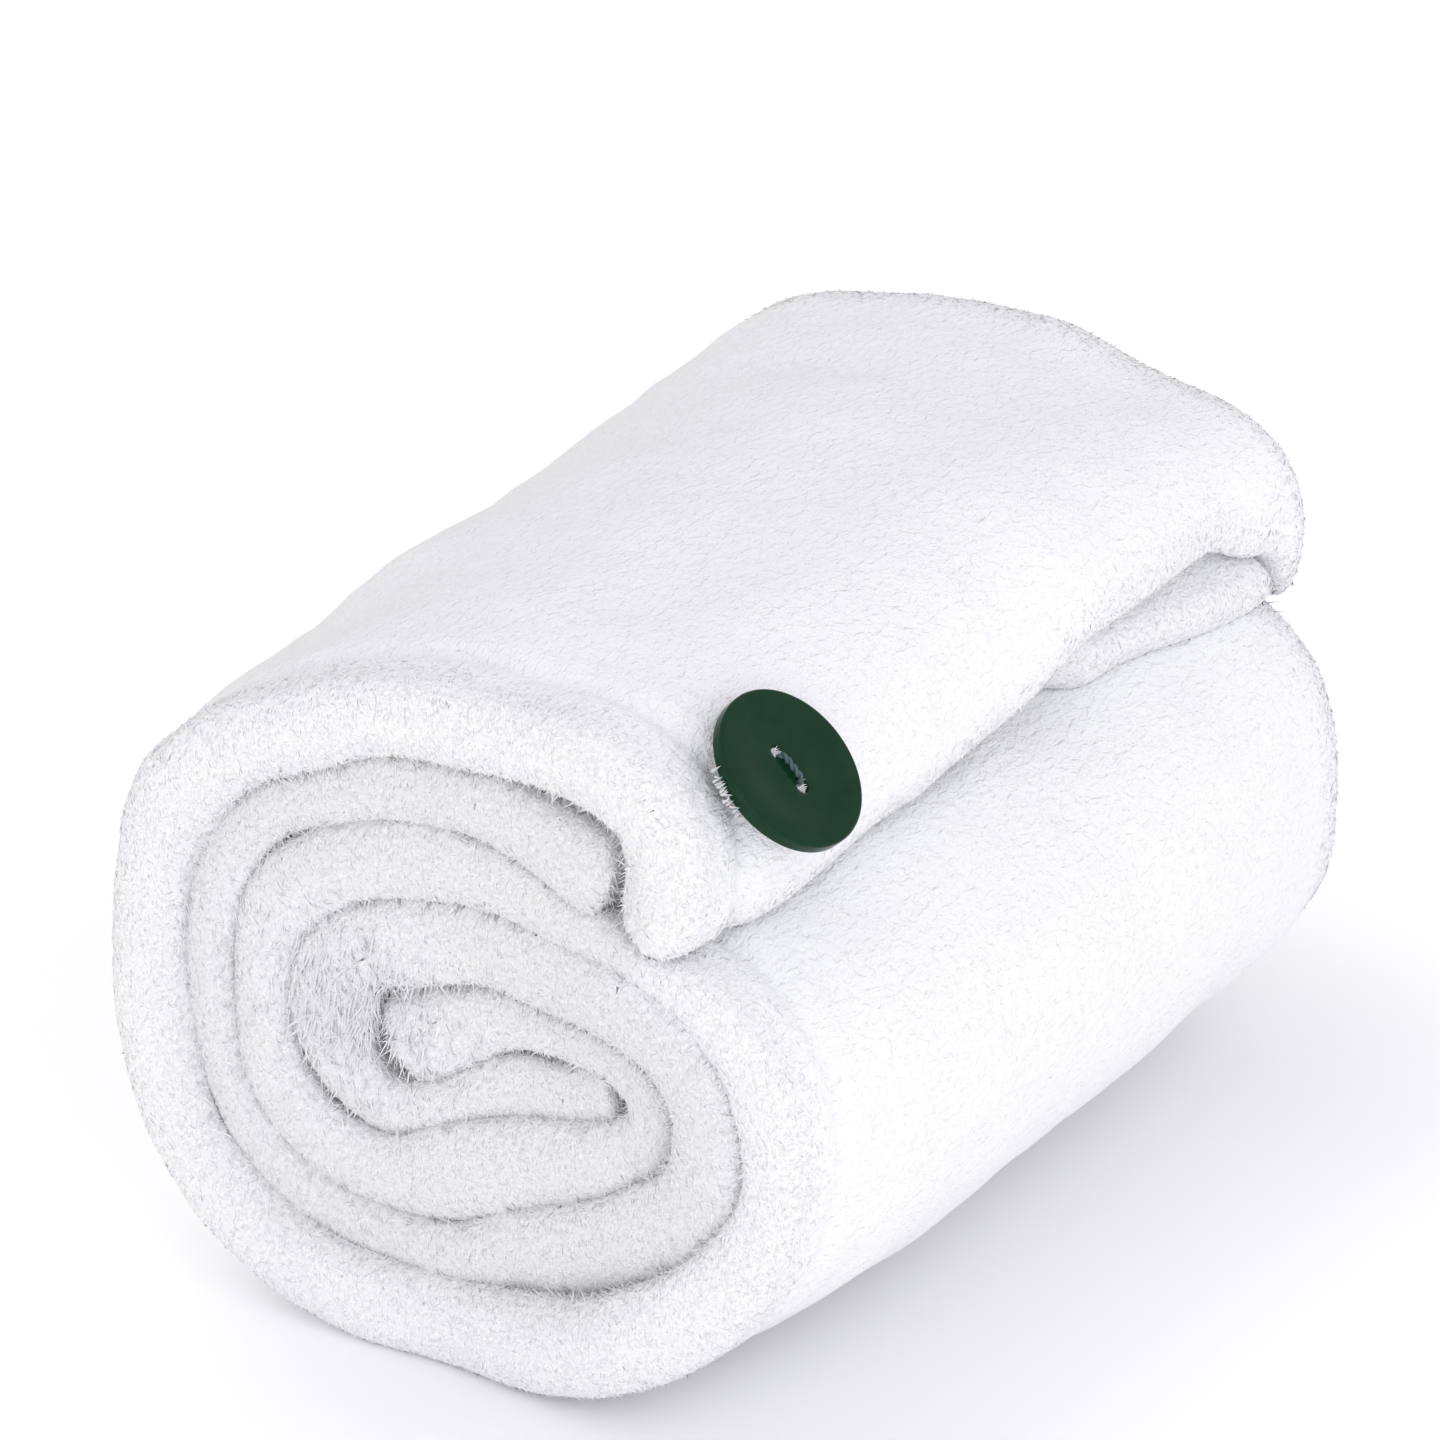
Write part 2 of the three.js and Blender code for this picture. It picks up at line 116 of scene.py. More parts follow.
def lattice_noise(seed: int, u: np.ndarray, v: np.ndarray) -> np.ndarray:
    """Smooth random relief: seeded numbers on a unit lattice, blended between its corners by smooth steps.

    Args:
        seed: Picks the lattice.
        u: First parameter, in lattice units.
        v: Second parameter, in lattice units.

    Returns:
        Values of about -1 to 1.
    """
    size = 256
    lattice = np.random.default_rng(seed).uniform(-1.0, 1.0, (size, size))
    i, j = np.floor(u).astype(int), np.floor(v).astype(int)
    fu, fv = smooth_step(0.0, 1.0, u - i), smooth_step(0.0, 1.0, v - j)
    i, j, i2, j2 = i % size, j % size, (i + 1) % size, (j + 1) % size
    near = lattice[i, j] * (1 - fu) + lattice[i2, j] * fu
    far = lattice[i, j2] * (1 - fu) + lattice[i2, j2] * fu
    return near * (1 - fv) + far * fv


def unit(vectors: np.ndarray) -> np.ndarray:
    """The vectors at length 1."""
    return vectors / np.maximum(np.linalg.norm(vectors, axis=-1, keepdims=True), 1e-9)


def run_lengths(line: np.ndarray) -> np.ndarray:
    """How far along a line each of its points lies: the running sum of the steps between them."""
    return np.concatenate([[0.0], np.cumsum(np.linalg.norm(np.diff(line, axis=0), axis=1))])


def both_sides(values: np.ndarray) -> np.ndarray:
    """A wall's values once for its outside and once, back to front, for its inside."""
    return np.concatenate([values, values[:, ::-1]], axis=1)


# Meshes


def mesh_object(name: str, points: np.ndarray, faces: list[np.ndarray]) -> bpy.types.Object:
    """A smoothly shaded object at the origin, from points in millimetres and sets of faces.

    Args:
        name: The piece's name.
        points: One point a row, in the row frame, in millimetres.
        faces: Arrays of point numbers, one face a row; all faces of an array have the same corner count.

    Returns:
        The linked object.
    """
    mesh = bpy.data.meshes.new(name)
    mesh.vertices.add(len(points))
    mesh.vertices.foreach_set("co", (points * MM).astype(np.float32).ravel())
    corners = np.concatenate([f.ravel() for f in faces]).astype(np.int32)
    sizes = np.concatenate([np.full(len(f), f.shape[1]) for f in faces])
    mesh.loops.add(len(corners))
    mesh.loops.foreach_set("vertex_index", corners)
    mesh.polygons.add(len(sizes))
    mesh.polygons.foreach_set("loop_start", np.concatenate([[0], np.cumsum(sizes)[:-1]]).astype(np.int32))
    mesh.polygons.foreach_set("use_smooth", np.ones(len(sizes), dtype=bool))
    mesh.update(calc_edges=True)
    mesh.validate()
    piece = bpy.data.objects.new(name, mesh)
    bpy.context.scene.collection.objects.link(piece)
    return piece


def set_attribute(piece: bpy.types.Object, name: str, values: np.ndarray) -> None:
    """Gives the piece's points a number each, under a name that its material reads."""
    layer = piece.data.attributes.new(name, "FLOAT", "POINT")
    layer.data.foreach_set("value", values.astype(np.float32).ravel())


def triangles(piece: bpy.types.Object) -> int:
    """How many triangles the piece's mesh has."""
    return len(piece.data.loops) - 2 * len(piece.data.polygons)


# The roll


@dataclass(frozen=True)
class Dent:
    """A soft hollow pressed into the outside; a depth below nothing is a swelling."""

    x: float
    y: float
    z: float
    across: float
    along: float
    depth: float


@dataclass(frozen=True)
class Crease:
    """A narrow line where the pile parts, from one point of the outside to another."""

    start: Row
    end: Row
    width: float
    depth: float


@dataclass(frozen=True)
class RollForm:
    """What both panels share: the roll's length, how it swells and sags, and its hems and dents."""

    length: float = 165.0
    centre_z: float = 58.0
    off_centre: float = 1.9
    sag_angle: float = -math.pi / 4
    hem_reach: float = 3.6
    hem_power: float = 2.5
    least_share: float = 0.06
    press: float = 1.15
    press_steps: Row = (0.0, 1.2)
    press_spread: Row = (15.0, 0.6)
    eyes: tuple[Row, ...] = ((-20.0, 53.0, 11.0, 2.2), (28.5, 57.5, 5.0, 1.6), (31.0, 94.5, 7.0, 2.4))
    stitch_from_rim: float = 12.0
    stitch_depth: float = 1.6
    stitch_width: float = 2.2
    fold_share: float = 0.8
    edge_fade: Row = (22.0, 62.0)
    hem_steps: Row = (0.0, 0.12, 0.4, 0.9, 1.6, 2.5, 3.6, 5.0, 6.8, 8.6, 10.0, 11.0, 12.0, 13.0, 14.2, 16.0)
    edge_steps: Row = (0.0, 0.12, 0.4, 0.9, 1.6, 2.5, 3.6)
    step: float = 2.35
    swell: tuple[Row, ...] = (
        (-82.5, 1.000, 0.000), (-68, 1.030, 0.020), (-52, 1.048, 0.050), (-17, 1.060, 0.065),
        (30, 1.060, 0.065), (60, 1.058, 0.040), (82.5, 1.062, 0.000),
    )
    dents: tuple[Dent, ...] = (
        Dent(-8, 49, 122, 17, 7, 1.8), Dent(34, 78, 121, 13, 26, 4.5), Dent(-42, 14, 108, 16, 13, 1.5),
        Dent(-42, -22, 109, 13, 12, -1.5), Dent(-44, -47, 104, 16, 12, 1.8), Dent(62, 8, 76, 18, 22, 1.5),
        Dent(-38, 80, 109, 16, 30, -3.0), Dent(5, 80, 117, 14, 22, 1.6), Dent(61, 80, 58, 14, 26, 1.6),
        Dent(60, 80, 30, 14, 26, -2.2), Dent(42, -82, 9, 20, 12, -2.4), Dent(-58, -82, 88, 12, 12, -1.4),
        Dent(-36, -56, 110, 14, 12, 1.4),
    )
    creases: tuple[Crease, ...] = (
        Crease((-14.0, 20.0, 121.0), (14.0, 45.0, 122.7), 4.0, 1.5),
        Crease((44.0, 84.0, 115.5), (41.0, 46.0, 119.8), 3.2, 2.2),
        Crease((41.5, 60.0, 118.6), (40.0, 8.0, 122.0), 3.2, 1.4),
    )

    def stations(self) -> np.ndarray:
        """Distances from the near rim: close together at both rims, even between them.

        Returns:
            The distances, from 0 to the roll's length.
        """
        hem = np.array(self.hem_steps)
        last = hem[-1]
        count = round((self.length - 2 * last) / self.step)
        middle = np.linspace(last, self.length - last, count + 1)[1:-1]
        return np.concatenate([hem, middle, (self.length - hem)[::-1]])

    def rounded(self, distance: np.ndarray, reach: float | np.ndarray) -> np.ndarray:
        """The share of the thickness near an edge: a superellipse that is nearly closed at the edge itself.

        Args:
            distance: How far from the edge.
            reach: Where the full thickness starts.

        Returns:
            The share, least_share at the edge and 1 from the reach on.
        """
        t = np.clip(distance / reach, 0.0, 1.0)
        share = (1.0 - (1.0 - t) ** self.hem_power) ** (1.0 / self.hem_power)
        return self.least_share + (1.0 - self.least_share) * share

    def pressed(self, seed: int, x: np.ndarray, z: np.ndarray, run: np.ndarray, inside: np.ndarray
                ) -> np.ndarray:
        """How much fuller the pile is where turns press together: uneven, and most about the roll's eyes.

        Each eye is a row of x, z, how far round it the pile is fuller, and by how much.

        Args:
            seed: Picks the unevenness.
            x: Where the wall's middle is, across the roll.
            z: Where it is, in height.
            run: How far along the wall each place is.
            inside: How far it is from the nearest edge.

        Returns:
            The extra half thickness.
        """
        size, uneven = self.press_spread
        full = self.press * (1.0 + uneven * lattice_noise(seed + 3, run / size, 0 * run))
        for eye_x, eye_z, reach, more in self.eyes:
            full = full + more * np.exp(-(((x - eye_x) ** 2 + (z - eye_z) ** 2) / reach**2))
        return full * smooth_step(*self.press_steps, inside)

    def dent_depth(self, x: np.ndarray, y: np.ndarray, z: np.ndarray) -> np.ndarray:
        """How far the outside is pressed in: a Gaussian well for each dent, and one across each crease.

        Args:
            x: Places across the roll.
            y: Places along it.
            z: Heights.

        Returns:
            The depth at each place, below nothing where the outside swells.
        """
        depth = np.zeros(np.broadcast(x, y, z).shape)
        for dent in self.dents:
            across = np.hypot(x - dent.x, z - dent.z) / dent.across
            depth += dent.depth * np.exp(-(across**2) - ((y - dent.y) / dent.along) ** 2)
        for crease in self.creases:
            start, end = np.array(crease.start), np.array(crease.end)
            places = np.stack(np.broadcast_arrays(x, y, z), axis=-1) - start
            run = end - start
            share = np.clip(places @ run / (run @ run), 0.0, 1.0)
            gap = np.linalg.norm(places - share[..., None] * run, axis=-1)
            fade = np.sqrt(np.clip(4.0 * share * (1.0 - share), 0.0, 1.0))
            depth += crease.depth * fade * np.exp(-((gap / crease.width) ** 2))
        return depth


@dataclass
class Ring:
    """A panel's closed skin on a grid: stations along the roll by places round the wall's section.

    The painted shade is how much darker the fleece's colour is painted where it lies deep in the roll.
    """

    points: np.ndarray
    normals: np.ndarray
    from_rim: np.ndarray
    from_edge: np.ndarray
    wall_length: float
    painted_shade: np.ndarray | None = None


@dataclass(frozen=True)
class WoundPanel:
    """One panel of fleece wound into the roll, from its free edge inwards.

    Each row of turns is x and z of the wall's middle at the near rim, its thickness, and how far its rim
    stands back from the roll's end. Each row of edge is a station, and how the free edge stands out, up and
    on there. From covered on, counted along the wall, it lies under the roll's other turns. Each row of lumps
    is a width and a height.
    """

    name: str
    slot: str
    seed: int
    turns: tuple[Row, ...]
    edge: tuple[Row, ...]
    edge_start: float = 0.0
    fine: int = 24
    window: int = 2
    lumps: tuple[Row, ...] = ((5.2, 0.28), (13.0, 0.5))
    dented: bool = True
    covered: float = 385.0
    cover_fade: float = 12.0
    least_half: float = 0.1
    # Painted shade in the grooves: the cloth's colour darkens this much towards the rims and the free edge,
    # between these distances.
    edge_painted_shade: float = 0.35
    edge_painted_shade_steps: Row = (9.0, 2.0)

    def ring(self, form: RollForm) -> Ring:
        """The panel's skin: its middle surface, thickened to both sides along its own normal.

        Args:
            form: The roll that the panel is part of.

        Returns:
            The skin's grid, with its distances from the rims and the free edges.
        """
        # The places along the wall, from its free edge to its inner end.
        rows = np.array(self.turns)
        t = np.linspace(0, len(rows) - 1, self.fine * (len(rows) - 1) + 1)
        lengths = run_lengths(catmull_rom(rows[:, :2], t, True))
        total = lengths[-1]
        ends = np.array(form.edge_steps)
        count = round((total - self.edge_start - 2 * ends[-1]) / form.step)
        between = np.linspace(self.edge_start + ends[-1], total - ends[-1], count + 1)[1:-1]
        wall = np.concatenate([self.edge_start + ends, between, (total - ends)[::-1]])[None, :]

        # The wall's middle at each station: the free edge slides, and the roll swells and sags.
        distance = form.stations()
        y = distance - form.length / 2
        out, up, reach = (column[:, None] for column in along(self.edge, y).T)
        grow, sag = (column[:, None] for column in along(form.swell, y).T)
        start = self.edge_start - reach
        fade_from, fade_to = form.edge_fade
        slide_end = self.edge_start + fade_to
        stretch = (slide_end - start) / fade_to
        slid = np.where(wall < slide_end, start + (wall - self.edge_start) * stretch, wall + 0 * start)
        at = np.interp(slid, lengths, t)
        place = catmull_rom(rows[:, :2], at, True)
        trait = catmull_rom(rows[:, 2:], at, False)
        share = 1.0 - smooth_step(fade_from, fade_to, slid - start)
        x = place[..., 0] + out * share
        z = place[..., 1] + up * share - form.centre_z
        side = np.maximum(0.0, np.cos(np.arctan2(z, x) - form.sag_angle)) ** 2
        x, z = x * (grow + sag * side), form.centre_z + z * (grow + sag * side)
        depth = y[:, None] * (1.0 - trait[..., 1] * 2.0 / form.length)

        # The wall's direction and its bend, from the circle through three points of it.
        k = np.arange(x.shape[1])
        a, b = np.maximum(k - self.window, 0), np.minimum(k + self.window, len(k) - 1)
        dx, dz = x[:, b] - x[:, a], z[:, b] - z[:, a]
        run = np.hypot(dx, dz)
        nx, nz = dz / run, -dx / run
        before = np.hypot(x - x[:, a], z - z[:, a])
        after = np.hypot(x[:, b] - x, z[:, b] - z)
        cross = (x - x[:, a]) * (z[:, b] - z) - (z - z[:, a]) * (x[:, b] - x)
        bend = np.where(before * after > 0, 2 * cross / np.maximum(before * after * run, 1e-9), 0.0)
        room = form.fold_share / np.maximum(np.abs(bend), 1e-6)

        # The thickness to each side, never more than a tight bend has room for.
        from_rim = np.minimum(distance, form.length - distance)[:, None]
        from_edge = np.minimum(slid - start, total - slid)
        thick = trait[..., 0]
        half = thick / 2 * form.rounded(from_rim, form.hem_reach) * form.rounded(from_edge, thick / 2)
        more = form.pressed(self.seed, x, z, slid, np.minimum(from_rim, from_edge))
        over = more * smooth_step(self.covered - self.cover_fade, self.covered + self.cover_fade, slid)
        from_stitch = (distance[:, None] - form.stitch_from_rim) / form.stitch_width
        stitch = form.stitch_depth * np.exp(-(from_stitch**2))
        calm = np.minimum(half / (thick / 2), 1.0)
        # Each size of lump reads its own part of its own lattice.
        relief = sum(
            size * lattice_noise(self.seed + n, slid / scale + 7 * n, (y[:, None] + 100) / scale)
            for n, (scale, size) in enumerate(self.lumps))
        dents = form.dent_depth(x, depth, z) if self.dented else 0.0
        dented = half + over + (relief - stitch - dents) * calm
        outer = np.where(bend < 0, np.minimum(dented, room), dented)
        inner = np.where(bend > 0, np.minimum(half + more, room), half + more)
        outer = np.maximum(outer, self.least_half)
        skins = [np.stack([x + s * nx * h, depth, np.maximum(z + s * nz * h, 0.0)], axis=-1)
                 for s, h in ((1.0, outer), (-1.0, inner))]
        points = np.concatenate([skins[0], skins[1][:, ::-1]], axis=1)
        points[..., 0] -= form.off_centre
        return Ring(
            points=points,
            normals=self.normals(points),
            from_rim=np.broadcast_to(from_rim, points.shape[:2]),
            from_edge=both_sides(from_edge),
            wall_length=float(total - self.edge_start),
        )

    @staticmethod
    def normals(points: np.ndarray) -> np.ndarray:
        """Outward normals of a ring grid: the lengthways slope crossed with the slope round the section."""
        round_slope = np.roll(points, -1, axis=1) - np.roll(points, 1, axis=1)
        return unit(np.cross(np.gradient(points, axis=0), round_slope))

    def cloth(self, ring: Ring) -> bpy.types.Object:
        """The closed cloth body: strips between neighbouring stations, and one across each rim.

        Args:
            ring: The panel's skin.

        Returns:
            The cloth as an object, with the attribute tone: painted shade, darker near the rims and the free
            edge.
        """
        m, n = ring.points.shape[:2]
        j, i = np.meshgrid(np.arange(m - 1), np.arange(n), indexing="ij")
        a, b = j * n + i, j * n + (i + 1) % n
        strips = np.stack([a, a + n, b + n, b], axis=-1).reshape(-1, 4)
        k = np.arange(n // 2 - 1)
        near = np.stack([k, k + 1, n - 2 - k, n - 1 - k], axis=-1)
        far = near[:, ::-1] + (m - 1) * n
        piece = mesh_object(self.name + "_cloth", ring.points.reshape(-1, 3), [strips, near, far])
        # Painted shade: darker towards the rims and the free edge, where the grooves are, and deep in the
        # roll.
        hem = smooth_step(*self.edge_painted_shade_steps, np.minimum(ring.from_rim, ring.from_edge))
        set_attribute(piece, "tone", 1.0 - self.edge_painted_shade * hem - ring.painted_shade)
        return piece


OUTER_PANEL = WoundPanel(
    name="outer_panel",
    slot="fleece",
    seed=11,
    turns=(
        (38.4, 85.0, 9.6, 0), (40.2, 91.0, 11.6, 0), (41.0, 99.0, 12.4, 0), (38.0, 107.0, 12.8, 0),
        (29.0, 112.2, 13.0, 0), (14.0, 113.4, 12.4, 0), (-2.0, 112.8, 12.4, 0), (-21.0, 107.3, 12.4, 0),
        (-37.0, 99.0, 12.6, 0), (-49.3, 87.2, 13.6, 0), (-55.2, 70.8, 12.6, 0), (-56.4, 55.0, 13.4, 0),
        (-54.6, 40.0, 14.2, 0), (-48.8, 25.0, 14.6, 0), (-37.0, 13.5, 14.8, 0), (-20.0, 8.0, 14.8, -1),
        (0.0, 7.7, 15.0, 0), (18.0, 10.1, 15.6, -2), (35.0, 17.6, 13.8, -3), (48.5, 27.5, 12.0, -1),
        (57.0, 40.0, 10.6, 0), (59.8, 54.0, 9.8, 0), (56.8, 67.5, 9.8, 0), (47.0, 77.3, 9.0, 1),
        (33.5, 81.6, 7.0, 2), (20.0, 85.2, 8.5, 2), (8.0, 87.4, 10.6, 2), (-7.0, 86.6, 11.2, 2),
        (-21.5, 81.0, 11.2, 2), (-33.2, 70.2, 11.2, 3), (-36.2, 55.6, 10.0, 3), (-34.9, 42.6, 10.5, 3),
        (-27.4, 33.2, 10.5, 3), (-13.0, 29.2, 11.6, 3), (1.5, 33.9, 15.2, 3), (14.5, 39.0, 13.2, 4),
        (26.5, 43.2, 10.4, 4), (33.6, 48.2, 8.0, 5), (35.4, 54.6, 7.0, 5), (30.4, 60.2, 7.0, 6),
        (21.2, 61.9, 8.2, 6), (9.0, 62.2, 10.2, 6), (-1.0, 57.6, 12.4, 6), (-12.4, 50.4, 12.4, 6),
    ),
    edge=(
        (-82.5, 0.0, 0.0, 0.0), (-62, 2.0, -0.6, 0.0), (-22, 1.5, 0.0, 0.0), (0, 1.8, 0.5, -1.0),
        (24, 6.0, 0.5, -10.5), (58, 6.5, -1.0, -12.0), (74, 8.0, -3.0, -8.5), (82.5, 10.0, -5.0, 0.0),
    ),
)

INNER_PANEL = WoundPanel(
    name="inner_panel",
    slot="inner_fleece",
    seed=37,
    turns=(
        (54.0, 83.5, 9.0, 7), (45.5, 87.7, 9.2, 7), (36.5, 91.4, 11.4, 5), (26.7, 94.4, 13.4, 2),
        (16.7, 97.6, 12.6, 2), (5.7, 100.0, 11.4, 2), (-7.3, 99.2, 11.2, 2), (-21.3, 94.4, 10.2, 2),
        (-34.0, 87.4, 9.0, 2), (-42.3, 76.3, 8.4, 2), (-45.4, 62.0, 7.4, 2), (-45.1, 50.0, 7.0, 2),
        (-42.6, 38.1, 6.7, 2), (-35.5, 27.4, 7.6, 2), (-24.0, 20.8, 7.8, 2), (-10.0, 19.2, 8.2, 2),
        (2.0, 20.2, 9.0, 2), (11.0, 23.2, 11.2, 2), (22.0, 27.0, 13.0, 2), (33.0, 32.6, 12.6, 2),
        (43.4, 40.6, 11.6, 2), (47.6, 51.5, 11.6, 1), (46.6, 61.0, 11.8, 1), (40.2, 68.6, 11.4, 1),
        (29.5, 73.0, 10.6, 1), (17.0, 74.4, 11.2, 2), (4.0, 75.0, 11.4, 3), (-8.5, 71.6, 12.4, 3),
        (-18.8, 67.4, 11.0, 3), (-23.4, 57.6, 10.4, 3), (-22.4, 47.4, 9.0, 4), (-14.5, 40.4, 7.0, 5),
        (-4.0, 43.4, 6.2, 5), (9.0, 50.0, 10.0, 6), (19.5, 51.8, 8.4, 6), (27.6, 54.0, 7.0, 6),
    ),
    edge=(
        (-82.5, 0.0, 0.0, 0.0), (0, 0.0, 0.0, 0.0), (17, 0.0, 0.0, 9.0), (36, 0.0, 0.0, 19.0),
        (82.5, 0.0, 0.0, 25.5),
    ),
    edge_start=26.0,
    dented=False,
    covered=40.0,
)


# The pile


@dataclass(frozen=True)
class ExposureMap:
    """Where the roll is open to the air: the outermost radius for each direction and station."""

    form: RollForm
    turn_bins: int = 360
    station_bins: int = 56
    middle_share: float = 0.52
    between: int = 4

    def bins(self, points: np.ndarray) -> tuple[np.ndarray, np.ndarray, np.ndarray]:
        """The station bin, direction bin and radius of each point about the roll's middle.

        Args:
            points: Points in the row frame.

        Returns:
            The two bins and the radius.
        """
        x, z = points[..., 0] + self.form.off_centre, points[..., 2] - self.form.centre_z
        turn = (np.arctan2(z, x) / (2 * math.pi) % 1.0 * self.turn_bins).astype(int) % self.turn_bins
        share = np.clip(points[..., 1] / self.form.length + self.middle_share, 0.0, 0.999)
        return (share * self.station_bins).astype(int), turn, np.hypot(x, z)

    def reach(self, rings: list[Ring]) -> np.ndarray:
        """The outermost radius in each bin, also between the points of each ring.

        Args:
            rings: The panels' skins.

        Returns:
            The radius for each station bin and direction bin.
        """
        reach = np.zeros((self.station_bins, self.turn_bins))
        for ring in rings:
            following = np.roll(ring.points, -1, axis=1)
            for share in np.arange(self.between) / self.between:
                station, turn, radius = self.bins(ring.points * (1 - share) + following * share)
                np.maximum.at(reach, (station, turn), radius)
        return reach

    def buried(self, reach: np.ndarray, points: np.ndarray) -> np.ndarray:
        """How far below the outermost skin each point lies."""
        station, turn, radius = self.bins(points)
        return reach[station, turn] - radius


@dataclass(frozen=True)
class GridPlaces:
    """Places inside the faces of a skin's grid: the face's station and turn, and the shares across it."""

    j: np.ndarray
    i: np.ndarray
    u: np.ndarray
    v: np.ndarray

    def blend(self, grid: np.ndarray) -> np.ndarray:
        """The grid's values there, blended between each face's four corners.

        Args:
            grid: Values at the skin's points.

        Returns:
            The values at the places.
        """
        after = (self.i + 1) % grid.shape[1]
        low = grid[self.j, self.i] * (1 - self.u) + grid[self.j, after] * self.u
        high = grid[self.j + 1, self.i] * (1 - self.u) + grid[self.j + 1, after] * self.u
        return low * (1 - self.v) + high * self.v


@dataclass(frozen=True)
class Pile:
    """One kind of tuft on the fleece: how many there are, their size, how they lie and how they are shaded.

    The densities are tufts on a square millimetre of the roll's near half and of its far half. The comb is
    the direction that the tufts lean to, and its part along the roll points to the nearer rim. Lean is in
    degrees from upright. Within open_reach of a rim the shading normals turn to the open end.
    """

    name: str
    seed: int
    length: float
    width: float
    lean: float
    spread: float
    lean_spread: float
    density: float = 0.0
    far_density: float = 0.0
    comb: Row = (0.0, 0.0, -0.8)
    droop: float = 0.0
    sink: float = 0.0
    ridge: float = 0.07
    # Painted shade at the roots: a tuft's colour runs from root_tone at its base to full at its tip, by the
    # corner tones.
    root_tone: float = 0.9
    tone_spread: float = 0.06
    open_reach: float = 6.0
    open_turn: float = 1.6
    length_spread: float = 0.22
    width_spread: float = 0.2
    rear_share: float = 0.7
    tip_sag: float = 0.4
    corner_tones: Row = (0.0, 0.0, 0.25, 1.0)
    lowest: float = 0.15

    def scatter(self, ring: Ring, weight: np.ndarray) -> dict[str, np.ndarray]:
        """Even random places on the skin: one running count of area times weight, cut at equal steps.

        Args:
            ring: The skin.
            weight: The share of the full density at each point of the grid.

        Returns:
            The bases, their normals, their painted shade, and how far they are from the rims.
        """
        rng = np.random.default_rng(self.seed)
        p, nxt = ring.points, np.roll(ring.points, -1, axis=1)
        area = 0.5 * np.linalg.norm(np.cross(nxt[1:] - p[:-1], p[1:] - nxt[:-1]), axis=-1)
        following = np.roll(weight, -1, axis=1)
        mean = (weight[:-1] + weight[1:] + following[:-1] + following[1:]) / 4
        running = np.cumsum((area * mean).ravel()) * self.density
        count = int(running[-1])
        picks = np.searchsorted(running, (np.arange(count) + rng.random(count)) / count * running[-1])
        j, i = np.divmod(np.minimum(picks, running.size - 1), p.shape[1])
        at = GridPlaces(j, i, *rng.random((2, count, 1)))
        return {
            "base": at.blend(p),
            "normal": unit(at.blend(ring.normals)),
            "painted_shade": at.blend(ring.painted_shade[..., None]),
            "from_rim": at.blend(ring.from_rim[..., None])[:, 0],
        }

    def tufts(self, places: dict[str, np.ndarray], comb: np.ndarray) -> bpy.types.Object:
        """Closed tufts from their bases to tips that lean along the comb direction.

        A tuft has four corners: one to each side of its base, one behind it, and its tip.

        Args:
            places: The bases, normals, painted shade and distances from the rims, as scatter gives them.
            comb: The direction that each tuft leans to.

        Returns:
            The tufts as one object, with the attribute tone: painted shade, brighter at the tip, and uneven
            between tufts.
        """
        rng = np.random.default_rng(self.seed + 1)
        up = np.array([0.0, 0.0, 1.0])
        base, normal = places["base"], places["normal"]
        count = len(base)
        comb = comb + self.spread * rng.standard_normal((count, 3))
        comb = unit(comb - normal * np.sum(comb * normal, axis=1, keepdims=True))
        lean = np.radians(self.lean + self.lean_spread * rng.standard_normal((count, 1)))
        axis = unit(normal * np.cos(lean) + comb * np.sin(lean) - self.droop * up)
        length = self.length * np.exp(self.length_spread * rng.standard_normal((count, 1)))
        width = self.width * np.exp(self.width_spread * rng.standard_normal((count, 1)))
        wide = unit(np.cross(axis, normal) + 1e-4)
        back = unit(np.cross(normal, wide))
        back = np.where(np.sum(back * axis, axis=1, keepdims=True) > 0, -back, back)
        base = base - normal * self.sink
        left, right = base + wide * width / 2, base - wide * width / 2
        rear = base + back * width * self.rear_share + normal * self.ridge
        tip = base + axis * length - up * self.droop * length * self.tip_sag
        points = np.stack([left, right, rear, tip], axis=1)
        flat = points.reshape(-1, 3)
        flat[:, 2] = np.maximum(flat[:, 2], self.lowest)
        pattern = np.array([[0, 1, 2], [0, 3, 1], [1, 3, 2], [2, 3, 0]])
        faces = np.arange(count)[:, None, None] * points.shape[1] + pattern
        flip = self.turned_in(points, pattern)
        faces[flip] = faces[flip][:, :, ::-1]
        piece = mesh_object(self.name, flat, [faces.reshape(-1, 3)])
        # Painted shade: tone is lower at each tuft's base and where the fleece lies deep in the roll; the
        # spread is random.
        tone = self.root_tone + (1.0 - self.root_tone) * np.array(self.corner_tones) - places["painted_shade"]
        set_attribute(piece, "tone", tone + self.tone_spread * rng.standard_normal((count, 1)))
        at_rim = smooth_step(self.open_reach, 0.0, places["from_rim"])
        opened = self.open_turn * at_rim * np.sign(base[:, 1])
        facing = unit(normal + opened[:, None] * np.array([0.0, 1.0, 0.0]))
        piece.data.normals_split_custom_set_from_vertices(np.repeat(facing, points.shape[1], axis=0))
        return piece

    @staticmethod
    def turned_in(points: np.ndarray, pattern: np.ndarray) -> np.ndarray:
        """Which tufts have their faces inwards: their volume, summed in tetrahedra, is below 0.

        Args:
            points: Each tuft's corners.
            pattern: The corners of each face of a tuft.

        Returns:
            One truth value for each tuft.
        """
        corners = points[:, pattern] - points[:, None, :1]
        volume = np.einsum("tfi,tfi->t", corners[:, :, 0], np.cross(corners[:, :, 1], corners[:, :, 2]))
        return volume < 0


# The button


